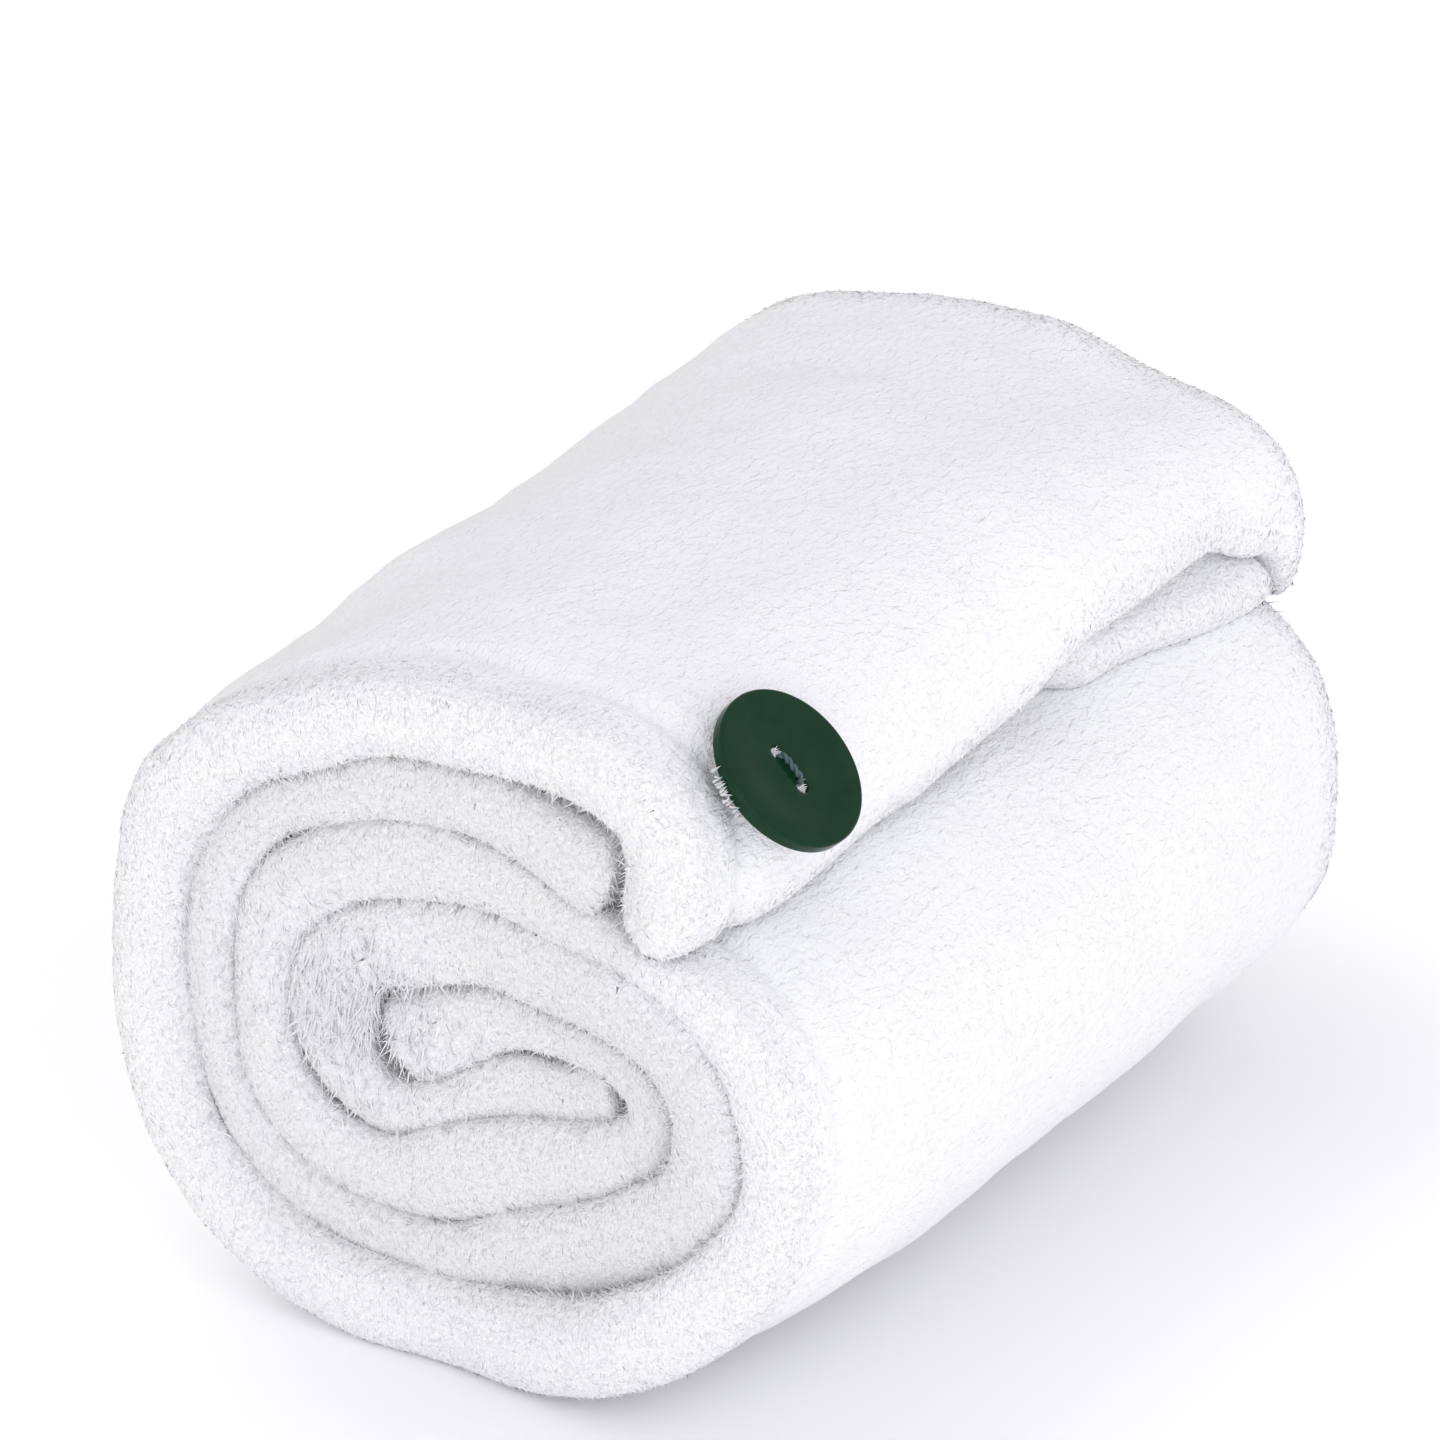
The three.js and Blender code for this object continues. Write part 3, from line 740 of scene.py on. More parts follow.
@dataclass(frozen=True)
class Fastening:
    """Where the button stands on the flap, and which way its axis points."""

    x: float = 49.1
    y: float = -63.1
    z: float = 111.3
    tilt: float = math.pi / 4

    @property
    def axes(self) -> np.ndarray:
        """The button's own axes, one a row: along its holes, along the roll, and out of its face."""
        s, c = math.sin(self.tilt), math.cos(self.tilt)
        return np.array([(s, 0.0, -c), (0.0, 1.0, 0.0), (c, 0.0, s)])

    def place(self, points: np.ndarray) -> np.ndarray:
        """Points given along the button's own axes, set on the flap."""
        return points @ self.axes + np.array([self.x, self.y, self.z])

    def local(self, points: np.ndarray) -> np.ndarray:
        """The button's own coordinates of points in the row frame."""
        return (points - np.array([self.x, self.y, self.z])) @ self.axes.T


@dataclass(frozen=True)
class Button:
    """A turned two-hole button with a rounded rim and a dished face.

    Each row of the back's curve is how far a point lies in from the rim, and how high above the back.
    """

    diameter: float = 26.7
    thickness: float = 3.2
    dish_diameter: float = 16.2
    dish_depth: float = 0.6
    dish_slope: float = 3.2
    dish_steps: int = 15
    dish_floor: float = 3.0
    edge_round: float = 0.55
    edge_steps: int = 9
    face_margin: float = 0.6
    back_curve: tuple[Row, ...] = ((6.5, 0.0), (3.5, 0.02), (0.66, 0.5), (0.25, 0.95), (0.0, 1.15))
    hole_diameter: float = 2.3
    hole_pitch: float = 6.3
    hole_round: float = 0.25
    round_share: float = 0.3
    drill_over: float = 1.0
    sides: int = 128
    hole_sides: int = 36

    def profile(self) -> np.ndarray:
        """Radius and height from the back's middle round the rim to the face's middle.

        The rim is a quarter circle, and the dish's slope is a cosine from its lip to its floor.

        Returns:
            One point a row.
        """
        radius, half, r = self.diameter / 2, self.thickness / 2, self.edge_round
        low = half - self.dish_depth
        back = [(0.0, -half), *((radius - inward, rise - half) for inward, rise in self.back_curve)]
        turn = np.linspace(0, math.pi / 2, self.edge_steps)
        rim = np.stack([radius - r + r * np.cos(turn), half - r + r * np.sin(turn)], axis=1)
        lip = self.dish_diameter / 2 + self.dish_slope
        face = [(radius - r - self.face_margin, half), (lip + self.face_margin, half)]
        slope = np.linspace(0, 1, self.dish_steps)
        dish = np.stack([lip - 2 * self.dish_slope * slope,
                         half - self.dish_depth * (1 - np.cos(math.pi * slope)) / 2], axis=1)
        return np.vstack([back, rim, face, dish, [(self.dish_floor, low), (0.0, low)]])

    def turned(self, profile: np.ndarray, sides: int) -> tuple[np.ndarray, list[np.ndarray]]:
        """A profile turned about Z, closed by a fan at each pole.

        Args:
            profile: Radius and height, from one pole to the other.
            sides: Faces round the axis.

        Returns:
            The points, and the sets of faces.
        """
        rows = profile[1:-1]
        angle = np.arange(sides) / sides * 2 * math.pi
        ring = np.stack([rows[:, :1] * np.cos(angle), rows[:, :1] * np.sin(angle),
                         np.repeat(rows[:, 1:], sides, axis=1)], axis=-1).reshape(-1, 3)
        points = np.vstack([ring, [(0, 0, profile[0, 1]), (0, 0, profile[-1, 1])]])
        j, i = np.meshgrid(np.arange(len(rows) - 1), np.arange(sides), indexing="ij")
        a, b = j * sides + i, j * sides + (i + 1) % sides
        quads = np.stack([a, b, b + sides, a + sides], axis=-1).reshape(-1, 4)
        k = np.arange(sides)
        last = (len(rows) - 1) * sides
        low = np.stack([np.full(sides, len(ring)), (k + 1) % sides, k], axis=-1)
        high = np.stack([np.full(sides, len(ring) + 1), last + k, last + (k + 1) % sides], axis=-1)
        return points, [quads, low, high]

    def build(self, at: Fastening) -> bpy.types.Object:
        """The button with its two rounded holes, set on the flap.

        Args:
            at: Where it stands.

        Returns:
            The finished object.
        """
        piece = mesh_object("button_disc", *self.turned(self.profile(), self.sides))
        half = self.thickness / 2
        low = half - self.dish_depth
        r, e = self.hole_diameter / 2, self.hole_round
        s, end = e * self.round_share, half + self.drill_over
        bore = np.array([(0.0, -end), (r + e, -end), (r + e, -half), (r, -half + e), (r, low - e),
                         (r + s, low - s), (r + e, low), (r + e, end), (0.0, end)])
        for side in (-1, 1):
            points, faces = self.turned(bore, self.hole_sides)
            drill = mesh_object("drill", points + np.array([side * self.hole_pitch / 2, 0, 0]), faces)
            cut = piece.modifiers.new("hole", "BOOLEAN")
            cut.operation, cut.solver, cut.object = "DIFFERENCE", "EXACT", drill
            apply_modifiers(piece)
            bpy.data.objects.remove(drill)
        points = np.empty(len(piece.data.vertices) * 3, np.float32)
        piece.data.vertices.foreach_get("co", points)
        placed = at.place(points.reshape(-1, 3) / MM) * MM
        piece.data.vertices.foreach_set("co", placed.astype(np.float32).ravel())
        piece.data.update()
        return piece


def apply_modifiers(piece: bpy.types.Object) -> None:
    """Replaces the piece's mesh by what its modifiers make of it.

    Args:
        piece: The piece, which has no modifiers left afterwards.
    """
    graph = bpy.context.evaluated_depsgraph_get()
    graph.update()
    made = bpy.data.meshes.new_from_object(piece.evaluated_get(graph))
    piece.modifiers.clear()
    piece.data = made


@dataclass(frozen=True)
class Thread:
    """The two-ply thread down one hole, across the dish and down the other."""

    diameter: float = 1.1
    inward: float = 0.7
    clearance: float = 0.15
    bend: float = 0.9
    bend_steps: int = 9
    plies: int = 2
    ply_share: float = 0.29
    pitch: float = 2.6
    steps: int = 120
    sides: int = 10

    def middle(self, button: Button) -> np.ndarray:
        """The thread's middle line: two legs and a span, joined by quarter circles, sampled evenly.

        Args:
            button: The button that it holds.

        Returns:
            Points along the button's own axes.
        """
        leg = button.hole_pitch / 2 - self.inward
        face = button.thickness / 2 - button.dish_depth + self.diameter / 2 + self.clearance
        foot = -button.thickness / 2
        turn = np.linspace(0, math.pi / 2, self.bend_steps)
        across, down = self.bend * (1 - np.cos(turn)), self.bend * (1 - np.sin(turn))
        left = np.stack([-leg + across, face - down], axis=1)
        right = left[::-1] * np.array([-1.0, 1.0])
        line = np.vstack([[(-leg, foot)], left, right, [(leg, foot)]])
        lengths = run_lengths(line)
        at = np.linspace(0, lengths[-1], self.steps)
        x, z = (np.interp(at, lengths, column) for column in line.T)
        return np.stack([x, 0 * at, z], axis=1)

    def build(self, button: Button, at: Fastening) -> bpy.types.Object:
        """The plies, each a tube on a helix about the middle line, closed by a face at each end.

        Args:
            button: The button that it holds.
            at: Where the button stands.

        Returns:
            The finished object.
        """
        line = self.middle(button)
        side = np.broadcast_to(np.array([0.0, 1.0, 0.0]), line.shape)
        up = np.cross(unit(np.gradient(line, axis=0)), side)
        ply = self.diameter * self.ply_share
        orbit = self.diameter / 2 - ply
        around = np.arange(self.sides) / self.sides * 2 * math.pi
        wide, high = np.cos(around)[:, None], np.sin(around)[:, None]
        j, i = np.meshgrid(np.arange(self.steps - 1), np.arange(self.sides), indexing="ij")
        k = np.arange(self.sides)
        points, faces, caps = [], [], []
        for n in range(self.plies):
            turn = run_lengths(line) / self.pitch * 2 * math.pi + n * 2 * math.pi / self.plies
            heart = line + orbit * (np.cos(turn)[:, None] * side + np.sin(turn)[:, None] * up)
            tube = heart[:, None] + ply * (wide * side[:, None] + high * up[:, None])
            points.append(tube.reshape(-1, 3))
            start = n * self.steps * self.sides
            a, b = start + j * self.sides + i, start + j * self.sides + (i + 1) % self.sides
            faces.append(np.stack([a, a + self.sides, b + self.sides, b], axis=-1).reshape(-1, 4))
            caps += [start + k, start + (self.steps - 1) * self.sides + k[::-1]]
        placed = at.place(np.vstack(points))
        return mesh_object("button_thread_plies", placed, [np.vstack(faces), np.array(caps)])


# Finishes


class Shading:
    """Small helpers that lay out a material's or a group's nodes."""

    def __init__(self, tree: bpy.types.NodeTree) -> None:
        """Keeps the tree that the nodes go into."""
        self.tree = tree

    def node(self, kind: str, **settings: object) -> bpy.types.Node:
        """A new node with its settings.

        Args:
            kind: The node's type.
            settings: Its own settings by name.

        Returns:
            The node.
        """
        made = self.tree.nodes.new(kind)
        for name, value in settings.items():
            setattr(made, name, value)
        return made

    def link(self, source: bpy.types.NodeSocket, target: bpy.types.NodeSocket) -> None:
        """Joins two sockets."""
        self.tree.links.new(source, target)

    def mix(self, share: bpy.types.NodeSocket, low: Colour, high: Colour) -> bpy.types.NodeSocket:
        """A colour between two, by a share that changes over the surface.

        Args:
            share: 0 for the first colour, 1 for the second.
            low: The first colour.
            high: The second colour.

        Returns:
            The blended colour.
        """
        made = self.node("ShaderNodeMix", data_type="RGBA")
        made.inputs["A"].default_value = (*low, 1.0)
        made.inputs["B"].default_value = (*high, 1.0)
        self.link(share, made.inputs["Factor"])
        return made.outputs["Result"]

    def number(self, operation: str, a: bpy.types.NodeSocket | float, b: bpy.types.NodeSocket | float,
               c: bpy.types.NodeSocket | float = 0.0) -> bpy.types.NodeSocket:
        """A sum, product or the like of numbers or sockets.

        Args:
            operation: The Math node's operation.
            a: Its first value.
            b: Its second value.
            c: Its third value, where it takes one.

        Returns:
            The result.
        """
        made = self.node("ShaderNodeMath", operation=operation)
        for socket, value in zip(made.inputs, (a, b, c)):
            if isinstance(value, (int, float)):
                socket.default_value = value
            else:
                self.link(value, socket)
        return made.outputs[0]

    def roughen(self, shader: bpy.types.Node, mask: bpy.types.NodeSocket, rough: Row) -> None:
        """The shader's roughness: a base, and what the mask adds to it."""
        self.link(self.number("MULTIPLY_ADD", mask, rough[1], rough[0]), shader.inputs["Roughness"])

    def emboss(self, shader: bpy.types.Node, height: bpy.types.NodeSocket, relief: Row) -> None:
        """Fine relief as bump on the shader's normal.

        Args:
            shader: The shader that gets it.
            height: The relief's height over the surface.
            relief: The bump's strength, and its distance in metres.
        """
        bump = self.node("ShaderNodeBump")
        bump.inputs["Strength"].default_value, bump.inputs["Distance"].default_value = relief
        self.link(height, bump.inputs["Height"])
        self.link(bump.outputs[0], shader.inputs["Normal"])


def new_group(name: str, inputs: dict[str, tuple[str, object]], outputs: dict[str, str]
              ) -> bpy.types.NodeTree:
    """An empty shader node group with named sockets.

    Args:
        name: The group's name.
        inputs: Each input's socket type and default.
        outputs: Each output's socket type.

    Returns:
        The group, with its input and output nodes in place.
    """
    tree = bpy.data.node_groups.new(name, "ShaderNodeTree")
    for label, (kind, value) in inputs.items():
        socket = tree.interface.new_socket(name=label, in_out="INPUT", socket_type=kind)
        socket.default_value = value
    for label, kind in outputs.items():
        tree.interface.new_socket(name=label, in_out="OUTPUT", socket_type=kind)
    tree.nodes.new("NodeGroupInput")
    tree.nodes.new("NodeGroupOutput")
    return tree


def pile_grain_group() -> bpy.types.NodeTree:
    """Grain of plush: clumps of noise stretched along the roll, with finer fibres in them.

    Returns:
        The group. It puts out the clumps as a mask, clumps and fibres as a height, and broad mottling.
    """
    fibre_share, height_share = 0.35, 0.74
    tree = new_group(
        "pile_grain",
        {"Vector": ("NodeSocketVector", (0.0, 0.0, 0.0)), "Clump": ("NodeSocketFloat", 900.0),
         "Stretch": ("NodeSocketFloat", 0.62), "Fibre": ("NodeSocketFloat", 3.2)},
        {"Mask": "NodeSocketFloat", "Height": "NodeSocketFloat", "Broad": "NodeSocketFloat"})
    kit = Shading(tree)
    given, put = tree.nodes["Group Input"], tree.nodes["Group Output"]
    shape = kit.node("ShaderNodeCombineXYZ")
    shape.inputs["X"].default_value = shape.inputs["Z"].default_value = 1.0
    kit.link(given.outputs["Stretch"], shape.inputs["Y"])
    pulled = kit.node("ShaderNodeVectorMath", operation="MULTIPLY")
    kit.link(given.outputs["Vector"], pulled.inputs[0])
    kit.link(shape.outputs[0], pulled.inputs[1])
    clumps = kit.node("ShaderNodeTexNoise")
    clumps.inputs["Detail"].default_value = 1.5
    clumps.inputs["Distortion"].default_value = 0.6
    kit.link(pulled.outputs[0], clumps.inputs["Vector"])
    kit.link(given.outputs["Clump"], clumps.inputs["Scale"])
    fibres = kit.node("ShaderNodeTexNoise")
    fibres.inputs["Detail"].default_value = 1.0
    kit.link(pulled.outputs[0], fibres.inputs["Vector"])
    kit.link(kit.number("MULTIPLY", given.outputs["Clump"], given.outputs["Fibre"]), fibres.inputs["Scale"])
    broad = kit.node("ShaderNodeTexNoise")
    broad.inputs["Scale"].default_value = 60.0
    broad.inputs["Detail"].default_value = 2.0
    kit.link(given.outputs["Vector"], broad.inputs["Vector"])
    both = kit.number("MULTIPLY_ADD", fibres.outputs["Fac"], fibre_share, clumps.outputs["Fac"])
    kit.link(kit.number("MULTIPLY", both, height_share), put.inputs["Height"])
    kit.link(clumps.outputs["Fac"], put.inputs["Mask"])
    kit.link(broad.outputs["Fac"], put.inputs["Broad"])
    return tree


def place_group(kit: Shading, group: bpy.types.NodeTree, **values: float) -> bpy.types.Node:
    """The group as a node, on Object coordinates, with its own values.

    Args:
        kit: The material's node helper.
        group: The group.
        values: Its inputs by name.

    Returns:
        The node.
    """
    made = kit.node("ShaderNodeGroup", node_tree=group)
    for name, value in values.items():
        made.inputs[name].default_value = value
    kit.link(kit.node("ShaderNodeTexCoord").outputs["Object"], made.inputs["Vector"])
    return made


def new_material(name: str) -> tuple[bpy.types.Material, Shading, bpy.types.Node]:
    """An empty material with a Principled shader.

    Args:
        name: The material's name.

    Returns:
        The material, its node helper, and the shader node.
    """
    made = bpy.data.materials.new(name)
    made.use_nodes = True
    made.node_tree.nodes.clear()
    kit = Shading(made.node_tree)
    shader, output = kit.node("ShaderNodeBsdfPrincipled"), kit.node("ShaderNodeOutputMaterial")
    kit.link(shader.outputs[0], output.inputs["Surface"])
    return made, kit, shader


@dataclass(frozen=True)
class FleeceFinish:
    """White coral fleece: its tips, a colour for painted shade and the grain's dark end, and the grain of its
    pile.

    Grain is how much the clumps and the broad mottling change the tone. Rough is a base and what the grain
    adds. Relief is the bump's strength and its distance in metres.
    """

    name: str
    tips: Colour
    shade_and_grain_dark: Colour
    grain: float = 0.35
    broad_share: float = 0.6
    clump: float = 760.0
    rough: Row = (0.9, 0.08)
    relief: Row = (1.0, 0.0009)
    sheen: float = 0.12
    sheen_rough: float = 0.6
    specular: float = 0.1

    def build(self, group: bpy.types.NodeTree) -> bpy.types.Material:
        """The material: painted shade to tips by the attribute tone, mottled by the grain, with the grain as
        bump.

        Args:
            group: The pile's grain.

        Returns:
            The finished material.
        """
        made, kit, shader = new_material(self.name)
        grain = place_group(kit, group, Clump=self.clump)
        # The attribute tone carries the painted shade of the grooves, the tuft roots and the roll's depth.
        tone = kit.node("ShaderNodeAttribute", attribute_name="tone").outputs["Fac"]
        for mask, share in (("Mask", self.grain), ("Broad", self.grain * self.broad_share)):
            centred = kit.number("SUBTRACT", grain.outputs[mask], 0.5)
            tone = kit.number("MULTIPLY_ADD", centred, share, tone)
        kit.link(kit.mix(tone, self.shade_and_grain_dark, self.tips), shader.inputs["Base Color"])
        kit.roughen(shader, grain.outputs["Mask"], self.rough)
        kit.emboss(shader, grain.outputs["Height"], self.relief)
        shader.inputs["Sheen Weight"].default_value = self.sheen
        shader.inputs["Sheen Roughness"].default_value = self.sheen_rough
        shader.inputs["Specular IOR Level"].default_value = self.specular
        return made


@dataclass(frozen=True)
class BlendedFinish:
    """A finish of two colours blended by the grain, which breaks up its roughness and gives it relief."""

    name: str
    dark: Colour
    light: Colour
    clump: float
    fibre: float
    rough: Row
    relief: Row
    specular: float

    def build(self, group: bpy.types.NodeTree) -> bpy.types.Material:
        """The material, with the grain at its own scale and not stretched.

        Args:
            group: The grain that fleece has too.

        Returns:
            The finished material.
        """
        made, kit, shader = new_material(self.name)
        grain = place_group(kit, group, Clump=self.clump, Stretch=1.0, Fibre=self.fibre)
        kit.link(kit.mix(grain.outputs["Mask"], self.dark, self.light), shader.inputs["Base Color"])
        kit.roughen(shader, grain.outputs["Mask"], self.rough)
        kit.emboss(shader, grain.outputs["Height"], self.relief)
        shader.inputs["Specular IOR Level"].default_value = self.specular
        return made


# Fleece: white tips, and a darker colour for painted shade at tuft roots, in grooves and deep in the roll,
# also the grain's dark end.
CLOTH_FINISHES = {
    "fleece": FleeceFinish("fleece_cloth", tips=(0.945, 0.947, 0.962), shade_and_grain_dark=(0.795, 0.787, 0.785)),
    "inner_fleece": FleeceFinish("inner_fleece_cloth", tips=(0.940, 0.942, 0.957),
                                 shade_and_grain_dark=(0.785, 0.777, 0.775)),
}
PILE_FINISHES = {
    "fleece": FleeceFinish("fleece_pile", tips=(0.948, 0.950, 0.965), shade_and_grain_dark=(0.80, 0.794, 0.795),
                           grain=0.25, relief=(0.1, 0.0009)),
    "inner_fleece": FleeceFinish("inner_fleece_pile", tips=(0.943, 0.945, 0.96), shade_and_grain_dark=(0.79, 0.784, 0.785),
                                 grain=0.25, relief=(0.1, 0.0009)),
}
# Polished dark green resin, faintly clouded, and grey-green sewing thread with fine fibres.
GREEN_RESIN = BlendedFinish("green_resin", dark=(0.003, 0.027, 0.010), light=(0.008, 0.043, 0.020),
                            clump=240.0, fibre=6.0, rough=(0.07, 0.1), relief=(0.05, 0.0002), specular=0.13)
GREEN_THREAD = BlendedFinish("green_thread", dark=(0.035, 0.075, 0.080), light=(0.095, 0.160, 0.170),
                             clump=2600.0, fibre=3.2, rough=(0.6, 0.2), relief=(0.5, 0.0001), specular=0.5)


# The studio


@dataclass(frozen=True)
class Lamp:
    """A soft lamp: where it hangs, its size and its power. Places and sizes here are metres."""

    name: str
    place: Row
    size: float
    power: float
    colour: Colour


@dataclass(frozen=True)
class Studio:
    """A plain pale floor, soft light from the front right, and the camera of the photograph.

    The floor glows faintly, but not on a box about the roll, given by its centre and half sizes; the missing
    glow there is a painted shadow. Places and sizes are metres.
    """

    azimuth: float = 32.5
    elevation: float = 27.0
    distance: float = 1.5
    lens: float = 237.0
    sensor: float = 36.0
    clip_end: float = 50.0
    target: Row = (0.00072, -0.00562, 0.08205)
    floor_size: float = 6.0
    floor_colour: Colour = (0.93, 0.93, 0.935)
    floor_dim: float = 0.995
    floor_grain: float = 3.0
    floor_rough: float = 0.8
    floor_glow: float = 0.24
    # Painted shadow on the floor: its glow is cut away on this box about the roll and fades back in over
    # these distances.
    painted_shadow_centre: Row = (0.03, 0.0, 0.0)
    painted_shadow_half: Row = (0.02, 0.055, 0.0)
    painted_shadow_fade: Row = (0.01, 0.09)
    sky: float = 0.80
    sky_colour: Colour = (0.985, 0.983, 1.0)
    lamp_aim: Row = (0.0, 0.0, 0.06)
    lamps: tuple[Lamp, ...] = (
        Lamp("key_light", (1.35, -0.75, 1.15), 1.4, 8.1, (0.885, 0.875, 1.0)),
        Lamp("front_fill", (0.3, -1.75, 0.8), 1.4, 1.9, (0.97, 0.965, 1.0)),
        Lamp("low_front", (-0.25, -1.7, 0.14), 0.5, 2.2, (0.97, 0.965, 1.0)),
        Lamp("low_right", (1.45, -0.75, 0.16), 0.5, 0.9, (0.92, 0.91, 1.0)),
    )

    def build(self) -> None:
        """Makes the floor, the lamps, the sky and the camera."""
        self.floor()
        for lamp in self.lamps:
            self.light(lamp)
        world = bpy.data.worlds.new("soft_sky")
        world.use_nodes = True
        back = world.node_tree.nodes["Background"]
        back.inputs["Color"].default_value = (*self.sky_colour, 1.0)
        back.inputs["Strength"].default_value = self.sky
        bpy.context.scene.world = world
        bpy.context.scene.view_settings.view_transform = "Standard"
        self.camera()

    def floor(self) -> None:
        """The floor: a wide plate, faintly lit from within so that it stays pale, with a painted shadow about
        the roll.
        """
        half = self.floor_size / 2 / MM
        corners = np.array([(-half, -half, 0.0), (half, -half, 0.0), (half, half, 0.0), (-half, half, 0.0)])
        plate = mesh_object("table_top", corners, [np.array([[0, 1, 2, 3]])])
        made, kit, shader = new_material("pale_table")
        tone = kit.node("ShaderNodeTexNoise")
        tone.inputs["Scale"].default_value = self.floor_grain
        kit.link(kit.node("ShaderNodeTexCoord").outputs["Object"], tone.inputs["Vector"])
        low = tuple(c * self.floor_dim for c in self.floor_colour)
        kit.link(kit.mix(tone.outputs["Fac"], low, self.floor_colour), shader.inputs["Base Color"])
        shader.inputs["Roughness"].default_value = self.floor_rough
        kit.link(self.glow(kit), shader.inputs["Emission Color"])
        shader.inputs["Emission Strength"].default_value = self.floor_glow
        plate.data.materials.append(made)

    def glow(self, kit: Shading) -> bpy.types.NodeSocket:
        """The floor's glow: none under the roll as a painted shadow, full further off, by the distance from a
        box on the floor.

        Args:
            kit: The floor material's helper.

        Returns:
            The colour of the glow.
        """
        place = kit.node("ShaderNodeTexCoord").outputs["Object"]
        steps = (("SUBTRACT", self.painted_shadow_centre), ("ABSOLUTE", None), ("SUBTRACT", self.painted_shadow_half),
                 ("MAXIMUM", (0.0, 0.0, 0.0)))
        for operation, value in steps:
            step = kit.node("ShaderNodeVectorMath", operation=operation)
            kit.link(place, step.inputs[0])
            if value is not None:
                step.inputs[1].default_value = value
            place = step.outputs[0]
        length = kit.node("ShaderNodeVectorMath", operation="LENGTH")
        kit.link(place, length.inputs[0])
        ramp = kit.node("ShaderNodeMapRange", interpolation_type="SMOOTHSTEP")
        ramp.inputs["From Min"].default_value, ramp.inputs["From Max"].default_value = self.painted_shadow_fade
        kit.link(length.outputs["Value"], ramp.inputs["Value"])
        return kit.mix(ramp.outputs["Result"], (0.0, 0.0, 0.0), self.floor_colour)

    def light(self, lamp: Lamp) -> None:
        """A square lamp that looks at the roll.

        Args:
            lamp: The lamp to hang.
        """
        made = bpy.data.lights.new(lamp.name, "AREA")
        made.size, made.energy, made.color = lamp.size, lamp.power, lamp.colour
        holder = bpy.data.objects.new(lamp.name, made)
        holder.location = lamp.place
        away = Vector(lamp.place) - Vector(self.lamp_aim)
        holder.rotation_euler = away.to_track_quat("Z", "Y").to_euler()
        bpy.context.scene.collection.objects.link(holder)

    def camera(self) -> None:
        """The camera, level, looking at the target from the photograph's side."""
        a, e = math.radians(self.azimuth), math.radians(self.elevation)
        back = Vector((math.sin(a) * math.cos(e), -math.cos(a) * math.cos(e), math.sin(e)))
        right = Vector((math.cos(a), math.sin(a), 0.0))
        turn = Matrix((right, back.cross(right), back)).transposed().to_4x4()
        turn.translation = Vector(self.target) + back * self.distance
        made = bpy.data.cameras.new("camera")
        made.lens, made.sensor_width, made.clip_end = self.lens, self.sensor, self.clip_end
        holder = bpy.data.objects.new("camera", made)
        holder.matrix_world = turn
        bpy.context.scene.collection.objects.link(holder)
        bpy.context.scene.camera = holder


# The towel


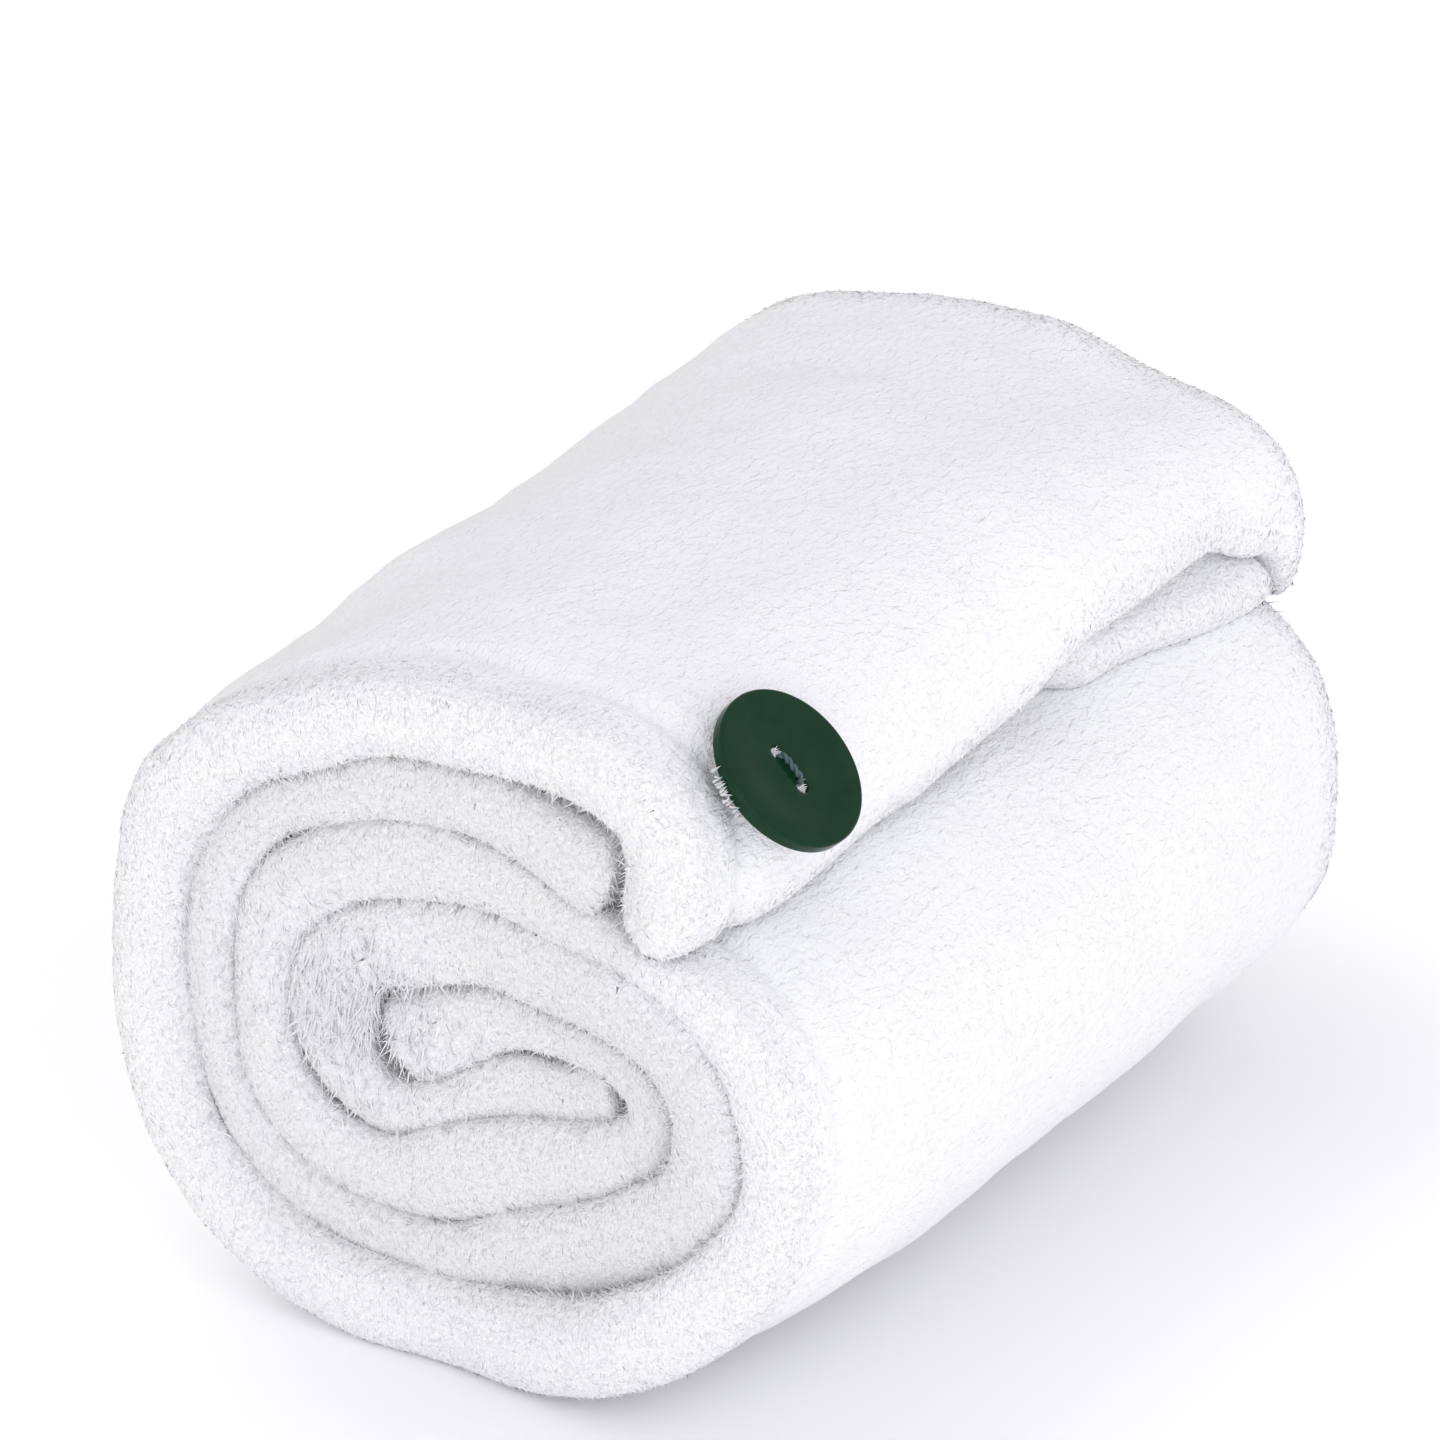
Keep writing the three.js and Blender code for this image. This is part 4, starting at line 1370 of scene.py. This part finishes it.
@dataclass
class Towel:
    """The whole towel: both panels with their pile, and the button with its thread.

    The kinds of tuft grow, in their order: on the hems twice, in the grooves, and at the roll's core.
    """

    form: RollForm = field(default_factory=RollForm)
    button: Button = field(default_factory=Button)
    thread: Thread = field(default_factory=Thread)
    at: Fastening = field(default_factory=Fastening)
    # Painted shade deep in the roll: how much the fleece's colour darkens between these buried depths, eased
    # near the roll's eye.
    painted_deep_shade: float = 0.58
    painted_shade_depths: Row = (7.0, 17.0)
    core: Row = (-20.0, 58.0)
    eye_reach: float = 20.0
    eye_light: float = 0.8
    hem_width: float = 9.0
    open_edge: float = 16.0
    groove_rim: float = 6.0
    groove_facing: Row = (0.9, 0.3)
    groove_depths: Row = (1.5, 4.0)
    core_reach: float = 11.0
    core_rim: float = 9.0
    upright: float = 0.2
    least_weight: float = 50.0
    quick_share: float = 0.2
    kinds: tuple[Pile, ...] = (
        Pile("hem_pile", 15, length=1.25, width=0.42, lean=87.0, spread=0.6, lean_spread=1.6, density=2.2,
             far_density=1.2, sink=0.02, ridge=0.0, root_tone=0.92),
        Pile("fluff", 25, length=0.8, width=0.11, lean=60.0, spread=0.8, lean_spread=12.0, density=0.9,
             far_density=0.9, droop=0.1, sink=0.08),
        Pile("groove_fluff", 35, length=1.9, width=0.34, lean=44.0, spread=0.7, lean_spread=14.0, density=1.6,
             far_density=0.5, comb=(0.0, 0.6, -0.2), droop=0.05, sink=0.2, tone_spread=0.08),
        Pile("core_fluff", 45, length=3.2, width=0.42, lean=58.0, spread=0.6, lean_spread=12.0, density=1.6,
             comb=(0.0, 0.5, -0.8), droop=0.4, sink=0.3, tone_spread=0.08),
    )
    button_clear: float = 14.0
    button_room: float = 2.3
    nest_seed: int = 5
    hole_fill: float = 0.8
    hole_shift: float = 0.08
    hole_floor: float = -0.2
    hole_count: int = 110
    hole_pile: Pile = Pile("outer_panel_hole_fluff", 71, length=1.15, width=0.42, lean=14.0, spread=0.3,
                           lean_spread=10.0, ridge=0.1, tone_spread=0.05)
    lap_turn: float = math.radians(-103)
    lap_spread: float = 0.12
    lap_reach: Row = (0.35, 1.3)
    lap_floor: float = -0.9
    lap_count: int = 24
    rim_pile: Pile = Pile("outer_panel_rim_fluff", 73, length=1.3, width=0.42, lean=24.0, spread=0.6,
                          lean_spread=9.0, ridge=0.1, tone_spread=0.05)

    def dress(self, piece: bpy.types.Object, material: bpy.types.Material) -> bpy.types.Object:
        """Gives the piece its finish, and lets it ride on the part's one body.

        Args:
            piece: The piece.
            material: Its finish.

        Returns:
            The same piece.
        """
        piece.data.materials.clear()
        piece.data.materials.append(material)
        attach(piece, BODY)
        LOG.info("%s: %d triangles", piece.name, triangles(piece))
        return piece

    def near_core(self, points: np.ndarray, reach: float) -> np.ndarray:
        """How near points are to the roll's core: a Gaussian hill about it, seen along the roll."""
        across, up = points[..., 0] - self.core[0], points[..., 2] - self.core[1]
        return np.exp(-((across**2 + up**2) / reach**2))

    def under_button(self, base: np.ndarray) -> np.ndarray:
        """Which places lie so close under the button's back that a tuft there would reach it."""
        own = self.at.local(base)
        return (np.hypot(own[:, 0], own[:, 1]) < self.button_clear) & (np.abs(own[:, 2]) < self.button_room)

    def grow(self, kind: Pile, ring: Ring, weight: np.ndarray) -> bpy.types.Object:
        """Grows one kind of tuft on a panel, leaving out those that would reach the button's back.

        Args:
            kind: The kind of tuft, with the name, seed and comb that it has here.
            ring: The panel's skin.
            weight: The share of the full density at each point of the skin.

        Returns:
            The tufts as one piece.
        """
        places = kind.scatter(ring, weight)
        keep = ~self.under_button(places["base"])
        places = {key: value[keep] for key, value in places.items()}
        return kind.tufts(places, places["normal"] * self.upright + np.array(kind.comb))

    def pile(self, panel: WoundPanel, ring: Ring, buried: np.ndarray, material: bpy.types.Material
             ) -> list[bpy.types.Object]:
        """All the tufts of one panel: locks and fluff on its hems, and fluff in its grooves and core.

        Args:
            panel: The panel that they grow on.
            ring: Its skin.
            buried: How deep each point of the skin lies under the outermost one.
            material: Their finish.

        Returns:
            The pieces, each for one half of the roll.
        """
        made = []
        share = 1.0
        edge = np.where(buried < self.open_edge, ring.from_edge, self.hem_width)
        on_hem = smooth_step(self.hem_width, self.hem_width / 2, np.minimum(ring.from_rim, edge))
        groove = smooth_step(*self.groove_facing, np.abs(ring.normals[..., 1]))
        groove = groove * (ring.from_rim < self.groove_rim) * smooth_step(*self.groove_depths, buried)
        core = self.near_core(ring.points, self.core_reach) * (ring.from_rim < self.core_rim)
        for half, side in ((-1, "near"), (1, "far")):
            here = (np.sign(ring.points[..., 1]) == half).astype(float)
            for kind, weight in zip(self.kinds, (on_hem, on_hem, groove, core)):
                density = kind.density if half < 0 else kind.far_density
                if density > 0 and (weight * here).sum() > self.least_weight:
                    x, y, z = kind.comb
                    own = replace(kind, name=f"{panel.name}_{side}_{kind.name}", density=density * share,
                                  seed=panel.seed + 5 * half + kind.seed, comb=(x, y * half, z))
                    made.append(self.dress(self.grow(own, ring, weight * here), material))
        return made

    def nest(self, material: bpy.types.Material) -> list[bpy.types.Object]:
        """The pile about the button: what shows through its holes, and what laps over its rim.

        Args:
            material: The pile's finish.

        Returns:
            The two small pieces.
        """
        rng = np.random.default_rng(self.nest_seed)
        made = []
        for pile, count in ((self.hole_pile, self.hole_count), (self.rim_pile, self.lap_count)):
            turn, reach = rng.uniform(0, 2 * math.pi, count), np.sqrt(rng.random(count))
            if pile is self.hole_pile:
                side = np.where(np.arange(count) % 2 > 0, 1.0, -1.0)
                middle = side * (self.button.hole_pitch / 2 + self.hole_shift)
                radius, floor = self.hole_fill * reach, self.hole_floor
                comb = rng.standard_normal((count, 3))
            else:
                turn = self.lap_turn + self.lap_spread * rng.standard_normal(count)
                radius = self.button.diameter / 2 + rng.uniform(*self.lap_reach, count)
                middle, floor = 0.0, self.lap_floor
                comb = np.stack([-np.cos(turn), -np.sin(turn), 0 * turn], axis=1) @ self.at.axes
            x, y = middle + radius * np.cos(turn), radius * np.sin(turn)
            base = self.at.place(np.stack([x, y, np.full(count, floor)], axis=1))
            places = {"base": base, "normal": np.repeat(self.at.axes[2:], count, axis=0),
                      "painted_shade": np.zeros((count, 1)), "from_rim": np.full(count, self.form.length)}
            made.append(self.dress(pile.tufts(places, comb), material))
        return made

    def build(self) -> None:
        """Builds every piece in order, and logs each one's triangle count."""
        grain = pile_grain_group()
        panels = [OUTER_PANEL, INNER_PANEL]
        rings = [panel.ring(self.form) for panel in panels]
        exposure = ExposureMap(self.form)
        reach = exposure.reach(rings)
        for panel, ring in zip(panels, rings):
            buried = exposure.buried(reach, ring.points)
            # Painted shade: the colour darkens where a wall lies deep under the outermost turn, and less so
            # about the roll's eye.
            lit = 1.0 - self.eye_light * self.near_core(ring.points, self.eye_reach)
            ring.painted_shade = self.painted_deep_shade * smooth_step(*self.painted_shade_depths, buried) * lit
            cloth = self.dress(panel.cloth(ring), CLOTH_FINISHES[panel.slot].build(grain))
            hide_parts(panel.name)
            pile = PILE_FINISHES[panel.slot].build(grain)
            tufts = self.pile(panel, ring, buried, pile)
            if panel is OUTER_PANEL:
                tufts += self.nest(pile)
        disc = self.dress(self.button.build(self.at), GREEN_RESIN.build(grain))
        disc.data.set_sharp_from_angle(angle=math.radians(40))
        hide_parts("button")
        plies = self.dress(self.thread.build(self.button, self.at), GREEN_THREAD.build(grain))
        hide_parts("button_thread")


def main() -> None:
    """Builds the studio and the towel."""
    logging.basicConfig(level=logging.INFO, format="%(name)s: %(message)s")
    Studio().build()
    Towel().build()


if __name__ == "__main__":
    main()
